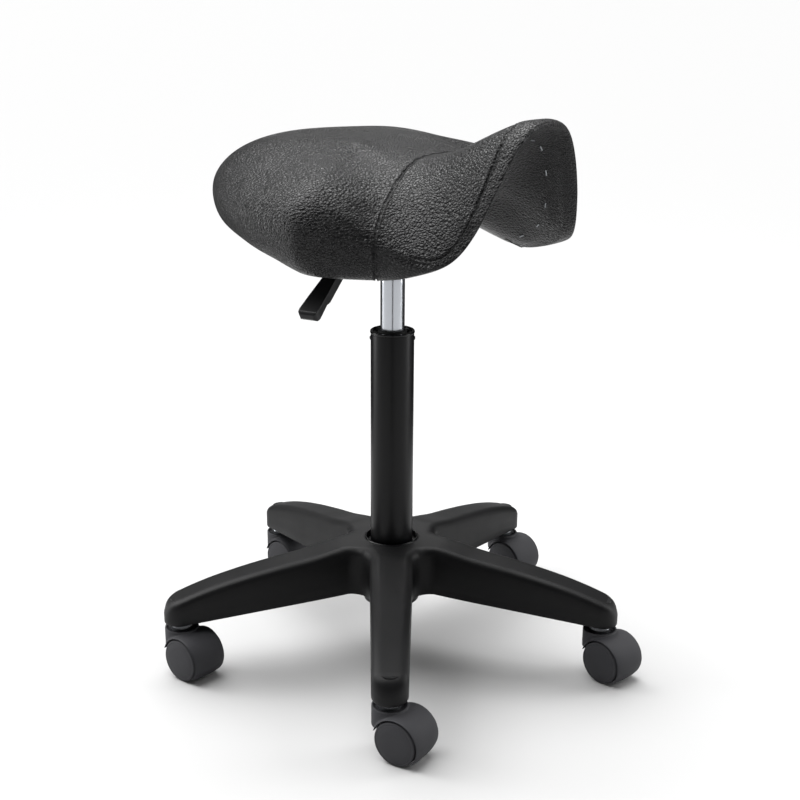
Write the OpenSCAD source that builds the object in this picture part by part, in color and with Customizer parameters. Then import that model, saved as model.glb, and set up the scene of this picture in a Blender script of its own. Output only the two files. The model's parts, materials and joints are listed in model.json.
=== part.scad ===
// Rolling stylist stool: five-arm nylon base on hooded twin-wheel casters, gas lift
// column, release lever and padded saddle seat. Millimetres. The origin is on the floor
// under the column, +Z is up and the seat's front points along -Y.

/* [Base] */
// Radius of the circle through the caster stems
stem_circle_r = 255.2; // [250:0.1:258]
// Width of an arm at its tip
arm_tip_w = 39.5; // [38:0.5:41]
// Width of an arm at the hub
arm_root_w = 49; // [46:0.5:50]
// Height of the hub's top face
hub_top = 136; // [134:1:138]
// Moulded wall thickness
base_wall = 3.5; // [3:0.5:4]
// Direction of the first arm, in degrees
base_turn = -138; // [-180:1:180]

/* [Column] */
// Diameter of the column tube
tube_d = 50; // [49:0.5:51]
// Height of the column's top
tube_top = 391; // [380:1:395]
// Wall of the column tube
tube_wall = 1.5; // [1.2:0.1:1.8]
// Diameter of the chromed cylinder
cyl_d = 28; // [27:0.5:28.5]
// Height of the cylinder's top at the stored height
cyl_top = 484; // [482:1:486]

/* [Casters] */
// Wheel diameter
wheel_d = 50; // [48:1:50]
// Distance from stem to axle
trail = 19; // [18:0.5:20]
// Overall width over both wheels
caster_w = 48; // [46:1:50]
// Stem diameter
stem_d = 11; // [10:0.5:11]

/* [Lever] */
// Direction of the lever under the seat, in degrees
lever_turn = 195; // [185:1:205]
// Droop of the paddle, in degrees
paddle_droop = 30; // [20:1:35]

/* [Seat] */
// Thickness of the cover material
cover_t = 1.2; // [1:0.1:1.3]
// Length of the seat ahead of the column
seat_front = 211; // [206:1:214]
// Length of the seat behind the column
seat_rear = 212; // [208:1:216]
// Half width of the seat
seat_half_w = 200.5; // [196:0.5:204]
// Height of the rear cushion's crown
crown_z = 606.5; // [602:0.1:608]
// Height of the raised front
pommel_z = 647.2; // [645:0.1:652]
// Height of the front flaps
flap_z = 482; // [480:1:490]

/* [Hidden] */
$fn = 64;
fit = 0.05;        // radial running clearance
arm_n = 5;
arm_bottom = 62;   // underside of an arm's tip
neck_top = 56;     // top face of a caster's neck

// ---------------------------------------------------------------- base

// Side outline of an arm, x = distance from the column; drop lowers the top.
module arm_side(drop = 0, sole = 0) {
    t = hub_top - drop;
    polygon([[0, t], [60, t], [100, t - 8], [140, t - 14], [180, t - 21], [220, t - 30],
             [250, t - 39], [266, t - 45], [273, t - 51], [277, t - 62],
             [277, arm_bottom - sole], [220, arm_bottom + 4.5 - sole],
             [100, arm_bottom + 13.5 - sole], [60, arm_bottom + 17 - sole],
             [0, arm_bottom + 17 - sole]]);
}

// Plan outline of an arm, inset by g.
module arm_plan(g = 0) {
    a = arm_root_w / 2 - g;
    b = arm_tip_w / 2 - g;
    polygon([[0, -a], [70, -a], [stem_circle_r, -b], [stem_circle_r, b], [70, a], [0, a]]);
    translate([stem_circle_r, 0]) circle(b);
}

// Side outline swept across the arm; lean > 0 slopes the sweep to chamfer one top edge.
module arm_slab(w, drop = 0, sole = 0)
    rotate([90, 0, 0]) linear_extrude(w, center = true) arm_side(drop, sole);

module top_chamfer(side, c = 7) {
    taper = atan((arm_root_w - arm_tip_w) / 2 / (stem_circle_r - 70));
    rotate([0, 0, -side * taper]) translate([0, side * (arm_root_w / 2 - c), 0])
        multmatrix([[1, 0, 0, 0], [0, 1, 0, 0], [0, -side * 0.9, 1, 0]])
            arm_slab(140, 0, 40);
}

module arm_solid() {
    intersection() {
        arm_slab(60);
        linear_extrude(150) arm_plan();
        top_chamfer(1);
        top_chamfer(-1);
    }
}

// Concave web between two neighbouring arms, on the bisector along +X.
module web_plan(fil = 22) {
    half = 180 / arm_n;
    c = (arm_root_w / 2 + fil) / sin(half);
    t = c * cos(half);
    k = arm_root_w / 2 - 6;
    x = t * cos(half) + k * sin(half);
    y = t * sin(half) - k * cos(half);
    difference() {
        polygon([[0, 0], [x, -y], [c, 0], [x, y]]);
        translate([c, 0]) circle(fil + 0.5);
    }
}

module around_arms() for (i = [0:arm_n - 1]) rotate([0, 0, base_turn + 360 / arm_n * i]) children();

module around_webs()
    for (i = [0:arm_n - 1]) rotate([0, 0, base_turn + 360 / arm_n * (i + 0.5)]) children();

module arm_ribs() {
    for (x = [70, 112, 154, 196]) translate([x, -30, 50]) cube([2.5, 60, 90]);
    translate([30, -1.25, 50]) cube([210, 2.5, 90]);
}

module arm_cavity() {
    difference() {
        intersection() {
            arm_slab(60, base_wall + 3, 20);
            linear_extrude(150) arm_plan(base_wall);
            translate([0, -30, 40]) cube([240, 60, 100]);
        }
        cylinder(r = 46, h = 150);
        translate([stem_circle_r, 0, 40]) cylinder(r = stem_d / 2 + 6, h = 80);
        intersection() {
            arm_ribs();
            translate([0, 0, 2]) arm_slab(60);
        }
    }
}

module base_star() color([0.05, 0.05, 0.055]) {
    difference() {
        union() {
            around_arms() arm_solid();
            around_webs() translate([0, 0, arm_bottom + 19.5])
                linear_extrude(hub_top - arm_bottom - 20.1) web_plan();
            translate([0, 0, arm_bottom + 14]) cylinder(r = 44, h = 30);
            translate([0, 0, hub_top - 20]) cylinder(r = 36, h = 20.4);
            translate([0, 0, 58]) cylinder(r = 33, h = 40);
        }
        around_arms() arm_cavity();
        around_arms() translate([stem_circle_r, 0, 50]) cylinder(d = stem_d + 2 * fit, h = 36);
        translate([0, 0, 57]) cylinder(r = 30, h = 3);
        translate([0, 0, 59]) cylinder(r1 = tube_r(59) + 0.02, r2 = tube_r(131) + 0.02, h = 72);
        translate([0, 0, hub_top - 6]) cylinder(r = 32.02, h = 10);
    }
}

module hub_ring() color([0.09, 0.09, 0.095])
    rotate_extrude() polygon([[29.5, hub_top - 6], [32, hub_top - 6], [32, hub_top + 0.6],
                              [31.2, hub_top + 1.4], [30.2, hub_top + 1.4], [29.5, hub_top + 0.7]]);

// ---------------------------------------------------------------- column

function foot_r() = tube_d / 2 - 1.85;
function tube_r(z) = foot_r() + (tube_d / 2 - foot_r()) * (z - 62) / (hub_top - 64);

module support_tube() color([0.06, 0.06, 0.065]) {
    ro = tube_d / 2;
    ri = ro - tube_wall;
    difference() {
        rotate_extrude()
            polygon([[4 + fit, 62], [foot_r(), 62], [ro, hub_top - 2], [ro, tube_top - 3],
                     [ri, tube_top - 3], [ri, hub_top - 2], [foot_r() - tube_wall, 66], [4 + fit, 66]]);
        rivet_places() rotate([0, 90, 0]) cylinder(d = 5, h = 12, center = true);
    }
}

module rivet_places() for (s = [-1, 1]) rotate([0, 0, base_turn + s * 86])
    translate([tube_d / 2, 0, tube_top - 9]) children();

module bush_rivets() color([0.1, 0.1, 0.105]) rivet_places() {
    rotate([0, 90, 0]) translate([0, 0, -3]) cylinder(d = 4.9, h = 3.6);
    rotate([0, 90, 0]) translate([0, 0, 0.6]) cylinder(d1 = 4.9, d2 = 3.2, h = 0.6);
}

module tube_collar() color([0.07, 0.07, 0.075])
    rotate_extrude() polygon([[21.5, tube_top - 2.9], [tube_d / 2 + 0.3, tube_top - 2.9],
                              [tube_d / 2 + 0.7, tube_top - 2.4], [tube_d / 2 + 0.7, tube_top - 0.7],
                              [tube_d / 2, tube_top], [tube_d / 2 - 1.6, tube_top],
                              [21.5, tube_top - 1.6]]);

module guide_bush() color([0.55, 0.56, 0.58]) difference() {
    ri = cyl_d / 2 + fit;
    ro = tube_d / 2 - tube_wall - 0.02;
    rotate_extrude() polygon([[ri, 300], [ro, 300], [ro, tube_top - 3], [21.4, tube_top - 3],
                              [21.4, tube_top - 2], [17, tube_top - 4.5], [17, tube_top - 8],
                              [ri, tube_top - 8]]);
    rivet_places() rotate([0, 90, 0]) translate([0, 0, -3.05]) cylinder(d = 5, h = 8);
}

module wiper_ring() color([0.03, 0.03, 0.03])
    rotate_extrude() polygon([[cyl_d / 2 + fit, tube_top - 7.9], [16.9, tube_top - 7.9],
                              [16.9, tube_top - 1], [15, tube_top + 0.8],
                              [cyl_d / 2 + fit, tube_top + 0.2]]);

module bearing_race_lower() color([0.6, 0.6, 0.62]) race(66.02);
module bearing_race_upper() color([0.6, 0.6, 0.62]) race(71.06);

module race(z) rotate_extrude() polygon([[4 + fit, z], [15, z], [15, z + 2], [4 + fit, z + 2]]);

module bearing_balls() color([0.75, 0.75, 0.77])
    for (i = [0:11]) rotate([0, 0, 30 * i]) translate([10.5, 0, 69.54]) sphere(r = 1.48);

module foot_clip() color([0.3, 0.3, 0.32]) difference() {
    translate([0, 0, 60.7]) cylinder(r = 6.5, h = 1.2);
    translate([0, 0, 60]) cylinder(r = 3.22, h = 3);
    translate([0, -1.5, 60]) cube([10, 3, 3]);
}

// ---------------------------------------------------------------- gas lift

module piston_rod() color([0.72, 0.72, 0.74])
    rotate_extrude() polygon([[0, 58], [3.4, 58], [4, 58.6], [4, 60.65], [3.2, 60.65], [3.2, 61.95],
                              [4, 61.95], [4, 73.1], [5, 73.1], [5, 238], [3.5, 238], [3.5, 256], [0, 256]]);

module piston() color([0.5, 0.5, 0.52])
    rotate_extrude() polygon([[3.55, 238.1], [cyl_d / 2 - 1.55, 238.1], [cyl_d / 2 - 1.55, 244],
                              [cyl_d / 2 - 2.6, 244], [cyl_d / 2 - 2.6, 248], [cyl_d / 2 - 1.55, 248],
                              [cyl_d / 2 - 1.55, 254], [3.55, 254]]);

module bump_stop() color([0.05, 0.05, 0.05])
    rotate_extrude() polygon([[5.1, 73.2], [12, 73.2], [13, 76], [13, 86], [11, 90], [5.1, 90]]);

module pressure_cylinder() color([0.8, 0.81, 0.83])
    rotate_extrude() polygon([[cyl_d / 2 - 1.5, 146], [cyl_d / 2 - 0.5, 146], [cyl_d / 2, 147],
                              [cyl_d / 2, cyl_top - 36], [cyl_d / 2 - 1, cyl_top],
                              [cyl_d / 2 - 3.5, cyl_top], [cyl_d / 2 - 3.5, cyl_top - 2],
                              [cyl_d / 2 - 2.4, cyl_top - 2], [cyl_d / 2 - 1.5, cyl_top - 36]]);

module cylinder_gland() color([0.2, 0.2, 0.2])
    rotate_extrude() polygon([[5 + fit, 146.5], [cyl_d / 2 - 1.52, 146.5], [cyl_d / 2 - 1.52, 168],
                              [5 + fit, 168]]);

module valve_body() color([0.6, 0.6, 0.62])
    rotate_extrude() polygon([[0, cyl_top - 34], [cyl_d / 2 - 2.6, cyl_top - 34],
                              [cyl_d / 2 - 2.6, cyl_top - 3], [3 + fit, cyl_top - 3],
                              [3 + fit, cyl_top - 22], [0, cyl_top - 22]]);

module release_pin() color([0.75, 0.75, 0.77])
    rotate_extrude() polygon([[0, cyl_top - 18], [3, cyl_top - 18], [3, cyl_top + 3.5],
                              [2, cyl_top + 3.95], [1, cyl_top + 4.15], [0, cyl_top + 4.2]]);

// ---------------------------------------------------------------- seat surface
// u runs from the column to the front, v to the sitter's left.

function ease(x) = let (c = min(1, max(0, x))) c * c * (3 - 2 * c);

// Point of the seat's outline at parameter t (0 = front).
function rim(t) =
    let (c = cos(t), s = sin(t), n = c > 0 ? 3.15 : 1.84, len = c > 0 ? seat_front : seat_rear,
         r = pow(pow(abs(c / len), n) + pow(abs(s / seat_half_w), n), -1 / n),
         v = r * s * (1 - 0.277 * ease((r * c - 42) / 96)))
    [r * c - 20 * ease(1.6 * c) * min(1.25, pow(v / 130, 2)), v];

// Height of the padded top before its edge rolls over.
function crest(u, v) =
    let (g = ease((u + 64.8) / 249.9), bell = exp(-pow(abs(v) / 88.2, 3.13)),
         back = crown_z - 3.4 * ((u + 20) * (u + 20) + v * v) / 36100,
         ridge = crown_z - 16.1 * exp(-pow((u - 60) / 60, 2))
                 + (pommel_z - crown_z) * ease((u - 54.4) / 170.3),
         low = back * (1 - g) + flap_z * g + 4 * ease((abs(v) - 80) / 80) * g)
    back * (1 - g) + (low + (ridge - low) * bell) * g - swells(u, shoulder) * ease((abs(v) - 50) / 100);

// Gentle swells along the seat's length: how far the shoulders drop, and how much deeper the
// rolled edge is, at each place in swell_at.
swell_at = [-110, -65, -20, 25, 70, 115, 160];
shoulder = [-3, 4, 10.5, 4.5, -1, -2, -5];
deeper = [-1, -8, -9, -3, 9, 8, -5];
function swells(u, a) = [for (i = [0:6]) a[i] * exp(-pow((u - swell_at[i]) / 38, 2))] * [for (i = [0:6]) 1];

// Outline parameter of the ray from the column through (u, v), by bisection.
function ray(u, v, lo = 0, hi = 180, n = 16) =
    let (mid = (lo + hi) / 2, o = rim(mid))
    n == 0 ? mid
    : atan2(o[1], o[0]) < atan2(abs(v), u) ? ray(u, v, mid, hi, n - 1) : ray(u, v, lo, mid, n - 1);

function thin(o) = ease((o[0] / seat_front - 0.036) / 0.781);
function mix(a, b, k) = a + (b - a) * k;

function top_point(u, v) =
    let (o = rim(ray(u, v)), k = thin(o), d = max(0, norm(o) - norm([u, v])),
         x = max(0, 1 - d / mix(85.2, 24.1, k)))
    [v, -u, crest(u, v) - mix(54.3, 7.9, k) * (1 - sqrt(max(0, 1 - x * x)))];

function roll_point(t, a) =
    let (o = rim(t), k = thin(o), r = norm(o), q = o * (r - mix(36.4, 14, k) * (1 - cos(a))) / r)
    [q[1], -q[0], crest(o[0], o[1]) - mix(54.3, 7.9, k) - (mix(50.3, 6.8, k) + swells(o[0], deeper)) * sin(a)];

// Rays of the grid start on the cross seam, whose shape is seam_u.
function seam_u(v) = 67.5 + 0.0017 * v * v;
function toward(p, k) =
    let (s = mix(67.5, -p[1] - 0.0017 * p[0] * p[0], k), v = k * p[0]) [s + 0.0017 * v * v, v];

function under_point(t, k) =
    let (e = roll_point(t, 90), q = toward(e, k), edge = crest(-e[1], e[0]) - e[2])
    [q[1], -q[0], crest(q[0], q[1]) - mix(64, edge, k)];

// Outline parameter where the cross seam meets the rim.
function seam_t(lo = 20, hi = 120, n = 24) =
    let (mid = (lo + hi) / 2, o = rim(mid))
    n == 0 ? mid : o[0] > seam_u(o[1]) ? seam_t(mid, hi, n - 1) : seam_t(lo, mid, n - 1);

front_cols = 26;
rear_cols = 34;
cols = front_cols + rear_cols;
ts = seam_t();
col_t = [for (i = [0:cols - 1]) i <= front_cols ? mix(-ts, ts, i / front_cols)
                                                : mix(ts, 360 - ts, (i - front_cols) / rear_cols)];
top_k = [0.14, 0.3, 0.46, 0.6, 0.72, 0.83, 0.9, 0.95, 0.985];
roll_a = [0, 22.5, 45, 67.5, 90];
under_k = [0.94, 0.86, 0.7, 0.5, 0.25];
seam_row = 5;      // row that carries the front rim seam
// Share of the way out where the rim seam runs: it nears the edge toward the flaps' tips.
function seam_k(t) = let (a = min(t < 0 ? -t : t, 360 - t))
    mix(0.83, 0.975, ease((a - 8) / 36) * (1 - ease((a - 57) / 30)));
function row_k(k, t) = let (s = seam_k(t))
    k < top_k[seam_row] ? k * s / top_k[seam_row] : 1 - (1 - k) * (1 - s) / (1 - top_k[seam_row]);
hem_row = 15;      // row where the underside panel starts
rows = len(top_k) + len(roll_a) + len(under_k);

function row_points(r) =
    let (a = r - len(top_k), b = a - len(roll_a))
    [for (t = col_t) a < 0 ? let (o = rim(t), q = toward([o[1], -o[0]], row_k(top_k[r], t)))
        top_point(q[0], q[1])
                     : b < 0 ? roll_point(t, roll_a[a]) : under_point(t, under_k[b])];

grid = [for (r = [0:rows - 1]) row_points(r)];
top_pole = top_point(67.5, 0);
under_pole = [0, -67.5, crest(67.5, 0) - 64];

function unit(v) = v / norm(v);
function normal(r, c) =
    let (a = grid[r][(c + 1) % cols] - grid[r][(c + cols - 1) % cols],
         b = (r + 1 < rows ? grid[r + 1][c] : under_pole) - (r > 0 ? grid[r - 1][c] : top_pole))
    unit(cross(b, a));
normals = [for (r = [0:rows - 1]) [for (c = [0:cols - 1]) normal(r, c)]];

// All grid points moved inward by d, then the two poles.
function layer(d) = concat([for (r = [0:rows - 1], c = [0:cols - 1]) grid[r][c] - d * normals[r][c]],
                           [top_pole - [0, 0, d], under_pole + [0, 0, d]]);

// Cover panels are marked cell by cell; cell row 0 touches the top pole.
function panel(r, c) =
    let (f = c < front_cols, e = min(c, front_cols - 1 - c))
    r > hem_row ? "under" : !f ? "rear" : r > seam_row && e >= 2 ? "band" : "front";

function corner(r, c) = r < 0 ? rows * cols : r >= rows ? rows * cols + 1 : r * cols + c % cols;

// Thin skin over every cell whose panel is the given one.
module skin(name, t0, t1) {
    n = rows * cols + 2;
    function same(r, c) = r >= 0 && r <= rows &&
        (name == "shell" ? r >= hem_row : panel(r, (c + cols) % cols) == name);
    faces = [for (r = [0:rows], c = [0:cols - 1]) if (same(r, c))
        let (a = corner(r - 1, c), b = corner(r - 1, c + 1), d = corner(r, c + 1), e = corner(r, c))
        each concat(
            r > 0 ? [[a, b, d], [n + a, n + d, n + b]] : [],
            r < rows ? [[a, d, e], [n + a, n + e, n + d]] : [],
            r > 0 && !same(r - 1, c) ? [[b, a, n + a], [b, n + a, n + b]] : [],
            r < rows && !same(r + 1, c) ? [[e, d, n + d], [e, n + d, n + e]] : [],
            !same(r, c - 1) ? (r < rows ? [[a, e, n + e], [a, n + e, n + a]] : []) : [],
            !same(r, c + 1) ? (r < rows ? [[d, b, n + b], [d, n + b, n + d]] : []) : [])];
    polyhedron(concat(layer(t0), layer(t1)), faces);
}

module cover_rear() color([0.07, 0.07, 0.075]) skin("rear", 0, cover_t);
module cover_front() color([0.08, 0.08, 0.085]) skin("front", 0, cover_t);
module cover_band() color([0.06, 0.06, 0.065]) skin("band", 0, cover_t);
module cover_under() color([0.09, 0.09, 0.095]) difference() {
    skin("under", 0, cover_t);
    bolt_places() cylinder(d = 21, h = 60);
}

module seat_shell() color([0.62, 0.47, 0.3]) difference() {
    skin("shell", cover_t + 0.2, cover_t + 6.2);
    bolt_places() cylinder(d = 8.6, h = 60);
}

module seat_foam() color([0.85, 0.8, 0.6]) difference() {
    top_rows = len(top_k) + len(roll_a);
    pts = concat([for (r = [0:rows - 1], c = [0:cols - 1])
                      grid[r][c] - (r < top_rows ? cover_t + 0.2 : cover_t + 6.6) * normals[r][c]],
                 [top_pole - [0, 0, cover_t + 0.2], under_pole + [0, 0, cover_t + 6.6]]);
    polyhedron(pts, [for (r = [0:rows], c = [0:cols - 1])
        let (a = corner(r - 1, c), b = corner(r - 1, c + 1), d = corner(r, c + 1), e = corner(r, c))
        each concat(r > 0 ? [[a, b, d]] : [], r < rows ? [[a, d, e]] : [])]);
    bolt_places() cylinder(d = 26, h = 56);
}

// ---------------------------------------------------------------- seat mechanism

plate_z = cyl_top + 19;   // underside of the mounting plate
lever_z = cyl_top + 6.3;  // mid height of the lever arm and of its pivot
pivot_r = 30;             // pivot's distance from the column
bend_r = 116;             // where the lever droops into the paddle

module on_lever() rotate([0, 0, lever_turn]) children();

module taper_socket() color([0.12, 0.12, 0.13]) difference() {
    union() {
        translate([0, 0, cyl_top - 30]) cylinder(r = 20, h = 25);
        on_lever() translate([-24, -20, cyl_top - 6]) cube([48, 40, 8]);
    }
    translate([0, 0, cyl_top - 36]) cylinder(r1 = cyl_d / 2 + 0.02, r2 = cyl_d / 2 - 0.98, h = 36);
    translate([0, 0, cyl_top - 0.1]) cylinder(r = 12, h = 5);
}

module mount_plate() color([0.1, 0.1, 0.11]) difference() {
    union() {
        translate([-66, -66, plate_z]) cube([132, 132, 3]);
        on_lever() for (s = [-1, 1]) translate([-26, s * 21.52 - 1.5, cyl_top - 6])
            cube([66, 3, plate_z - cyl_top + 6.1]);
    }
    bolt_places() cylinder(d = 8.5, h = 20);
    on_lever() translate([pivot_r, 0, lever_z]) rotate([90, 0, 0])
        cylinder(d = 6.04, h = 60, center = true);
}

module lever_pivot() color([0.6, 0.6, 0.62]) on_lever() translate([pivot_r, 0, lever_z])
    rotate([90, 0, 0]) {
        cylinder(d = 6, h = 50, center = true);
        translate([0, 0, 23.2]) cylinder(d = 9, h = 1.8);
    }

module lever_arm() color([0.5, 0.5, 0.52]) on_lever() difference() {
    union() {
        translate([-8, -7, lever_z - 2]) cube([bend_r + 8, 14, 4]);
        translate([pivot_r, 0, lever_z]) rotate([90, 0, 0]) cylinder(d = 12, h = 14, center = true);
        translate([bend_r, 0, lever_z]) rotate([90, 0, 0]) cylinder(d = 4, h = 14, center = true);
        translate([bend_r, 0, lever_z]) rotate([0, paddle_droop, 0]) translate([0, -5, -2])
            cube([46, 10, 4]);
    }
    translate([pivot_r, 0, lever_z]) rotate([90, 0, 0]) cylinder(d = 6 + 2 * fit, h = 60, center = true);
}

module lever_handle() color([0.05, 0.05, 0.055]) on_lever()
    translate([bend_r, 0, lever_z]) rotate([0, paddle_droop, 0]) difference() {
        intersection() {
            rotate([90, 0, 0]) linear_extrude(40, center = true)
                polygon([[9, 3.6], [11, 4.6], [82, 4.6], [85, 2.8], [86, -2], [83.5, -6.2], [80, -6.6],
                         [60, -4.8], [54, -7.4], [12, -7.4], [9, -5]]);
            translate([0, 0, -20]) linear_extrude(40)
                polygon([[9, -5.8], [11, -7], [58, -10.2], [78, -11.2], [83, -10.6], [86.5, -7],
                         [86.5, 7], [83, 10.6], [78, 11.2], [58, 10.2], [11, 7], [9, 5.8]]);
        }
        translate([0, -5.05, -2.05]) cube([46.1, 10.1, 4.1]);
    }

// Height of the seat's underside at a point, by bisection on the grid's rays.
function under_z(x, y) =
    let (s = -y - 0.0017 * x * x - 67.5, t = under_t(atan2(abs(x), s)), e = roll_point(t, 90),
         k = norm([s, x]) / norm([-e[1] - 0.0017 * e[0] * e[0] - 67.5, e[0]]))
    crest(-y, x) - mix(64, crest(-e[1], e[0]) - e[2], k);
function under_t(a, lo = 0, hi = 180, n = 16) =
    let (mid = (lo + hi) / 2, e = roll_point(mid, 90))
    n == 0 ? mid : atan2(e[0], -e[1] - 0.0017 * e[0] * e[0] - 67.5) < a ? under_t(a, mid, hi, n - 1)
                                                                        : under_t(a, lo, mid, n - 1);

module bolt_places() for (x = [-54, 54], y = [-54, 54]) translate([x, y, plate_z - 8]) children();

module seat_spacers() color([0.08, 0.08, 0.085]) for (x = [-54, 54], y = [-54, 54])
    translate([x, y, plate_z + 3.02]) difference() {
        cylinder(d = 20, h = under_z(x, y) - plate_z - 6.6);
        translate([0, 0, -1]) cylinder(d = 8.5, h = 80);
    }

module mounting_bolts() color([0.55, 0.55, 0.57]) for (x = [-54, 54], y = [-54, 54])
    translate([x, y, plate_z]) {
        translate([0, 0, -7.2]) cylinder(d = 13, h = 5.6, $fn = 6);
        translate([0, 0, -2]) cylinder(d = 8, h = under_z(x, y) + 21 - plate_z);
    }

module bolt_washers() color([0.6, 0.6, 0.62]) bolt_places() translate([0, 0, 6.42]) difference() {
    cylinder(d = 17, h = 1.56);
    translate([0, 0, -1]) cylinder(d = 8.4, h = 4);
}

module tee_nuts() color([0.6, 0.6, 0.62]) for (x = [-54, 54], y = [-54, 54])
    translate([x, y, under_z(x, y) + 13]) difference() {
        union() {
            cylinder(d = 22, h = 1.6);
            cylinder(d = 11, h = 9);
        }
        translate([0, 0, -1]) cylinder(d = 8.06, h = 12);
    }

module staples() color([0.75, 0.75, 0.77]) for (c = [0:2:cols - 1]) {
    p = grid[hem_row][c];
    q = grid[hem_row][(c + 1) % cols];
    x = unit(q - p);
    w = normals[hem_row][c] + normals[hem_row][(c + 1) % cols];
    y = unit(cross(w, x));
    z = cross(x, y);
    m = (p + q) / 2 + 0.3 * z;
    multmatrix([[x[0], y[0], z[0], m[0]], [x[1], y[1], z[1], m[1]], [x[2], y[2], z[2], m[2]]])
        translate([-3.5, -0.6, 0]) cube([7, 1.2, 0.6]);
}

// ---------------------------------------------------------------- casters
// Local frame: stem on the Z axis, the wheels trail towards +X.

caster_turns = [58, 43, 47, 47, 50];   // heading of each caster, from the first arm
web_half = 5.8;                        // half thickness of the web between the wheels

module at_caster(i) rotate([0, 0, base_turn + 360 / arm_n * i]) translate([stem_circle_r, 0, 0])
    rotate([0, 0, caster_turns[i] - 360 / arm_n * i]) children();

module at_axle() translate([trail, 0, wheel_d / 2]) rotate([90, 0, 0]) children();

module hood(i) color([0.05, 0.05, 0.055]) at_caster(i) difference() {
    r = wheel_d / 2;
    w = caster_w / 2 - 1.4;
    union() {
        translate([0, 0, 33]) cylinder(d = 39, h = neck_top - 33);
        at_axle() cylinder(r = r + 4, h = 2 * w, center = true);
    }
    for (s = [-1, 1]) at_axle() translate([0, 0, s * (web_half + 20)])
        cylinder(r = r + 1.3, h = 40, center = true);
    difference() {
        at_axle() linear_extrude(80, center = true)
            polygon([[0, 0], [50 * cos(150), 50 * sin(150)], [-60, -60], [20, -60],
                     [50 * cos(-42), 50 * sin(-42)]]);
        at_axle() cylinder(r = 8, h = 2 * web_half + 0.1, center = true);
        translate([-30, -30, 33]) cube([30 + trail - 12, 60, 40]);
    }
    at_axle() cylinder(r = 4.02, h = 60, center = true);
    translate([0, 0, neck_top - 10]) cylinder(d = stem_d + 0.04, h = 20);
    translate([0, 0, neck_top - 2.5]) cylinder(d = 34, h = 5);
}

module stem(i) color([0.35, 0.35, 0.37]) at_caster(i) rotate_extrude() {
    r = stem_d / 2;
    polygon([[0, neck_top - 9.9], [r - 0.6, neck_top - 9.9], [r, neck_top - 9.2], [r, neck_top - 2.4],
             [12, neck_top - 2.4], [12, neck_top + 1.5], [10.5, neck_top + 4.8], [r, neck_top + 4.8],
             [r, 78], [r - 1, 78.4], [r - 1, 79.6], [r, 80], [r, 83], [r - 1.5, 85], [0, 85]]);
}

module axle(i) color([0.6, 0.6, 0.62]) at_caster(i) at_axle() cylinder(r = 4, h = caster_w - 10, center = true);

// One wheel; side = 1 or -1 across the caster.
module wheel(i, side) color([0.06, 0.06, 0.065]) at_caster(i) at_axle()
    mirror([0, 0, side > 0 ? 0 : 1]) rotate_extrude() {
        r = wheel_d / 2;
        a = web_half + 0.5;
        b = caster_w / 2;
        polygon([[4 + fit, a], [8, a], [8, b - 5], [r - 5, b - 5], [r - 5, a + 1], [r - 1.5, a + 0.4],
                 [r, a + 2], [r, b - 3], [r - 0.6, b - 1.9], [r - 1.6, b - 1.3], [16, b - 0.5],
                 [9, b - 0.1], [0, b], [0, b - 4.9], [4 + fit, b - 4.9]]);
    }

base_star();
hub_ring();
support_tube();
bush_rivets();
tube_collar();
guide_bush();
wiper_ring();
bearing_race_lower();
bearing_race_upper();
bearing_balls();
foot_clip();
piston_rod();
piston();
bump_stop();
pressure_cylinder();
cylinder_gland();
valve_body();
release_pin();
taper_socket();
mount_plate();
lever_pivot();
mounting_bolts();
bolt_washers();
seat_spacers();
tee_nuts();
lever_arm();
lever_handle();
seat_shell();
seat_foam();
cover_rear();
cover_front();
cover_band();
cover_under();
staples();
hood(0);  // caster_1_hood
stem(0);  // caster_1_stem
axle(0);  // caster_1_axle
wheel(0, 1);  // caster_1_wheel_a
wheel(0, -1);  // caster_1_wheel_b
hood(1);  // caster_2_hood
stem(1);  // caster_2_stem
axle(1);  // caster_2_axle
wheel(1, 1);  // caster_2_wheel_a
wheel(1, -1);  // caster_2_wheel_b
hood(2);  // caster_3_hood
stem(2);  // caster_3_stem
axle(2);  // caster_3_axle
wheel(2, 1);  // caster_3_wheel_a
wheel(2, -1);  // caster_3_wheel_b
hood(3);  // caster_4_hood
stem(3);  // caster_4_stem
axle(3);  // caster_4_axle
wheel(3, 1);  // caster_4_wheel_a
wheel(3, -1);  // caster_4_wheel_b
hood(4);  // caster_5_hood
stem(4);  // caster_5_stem
axle(4);  // caster_5_axle
wheel(4, 1);  // caster_5_wheel_a
wheel(4, -1);  // caster_5_wheel_b
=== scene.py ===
"""Looks of a rolling saddle stool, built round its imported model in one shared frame."""

import json
import logging
import math
from dataclasses import dataclass, field
from enum import Enum
from typing import Any, Callable, Iterable, Sequence

import bmesh
import bpy
import numpy as np
from mathutils import Matrix, Vector
from mathutils.bvhtree import BVHTree
from mathutils.kdtree import KDTree

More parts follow.
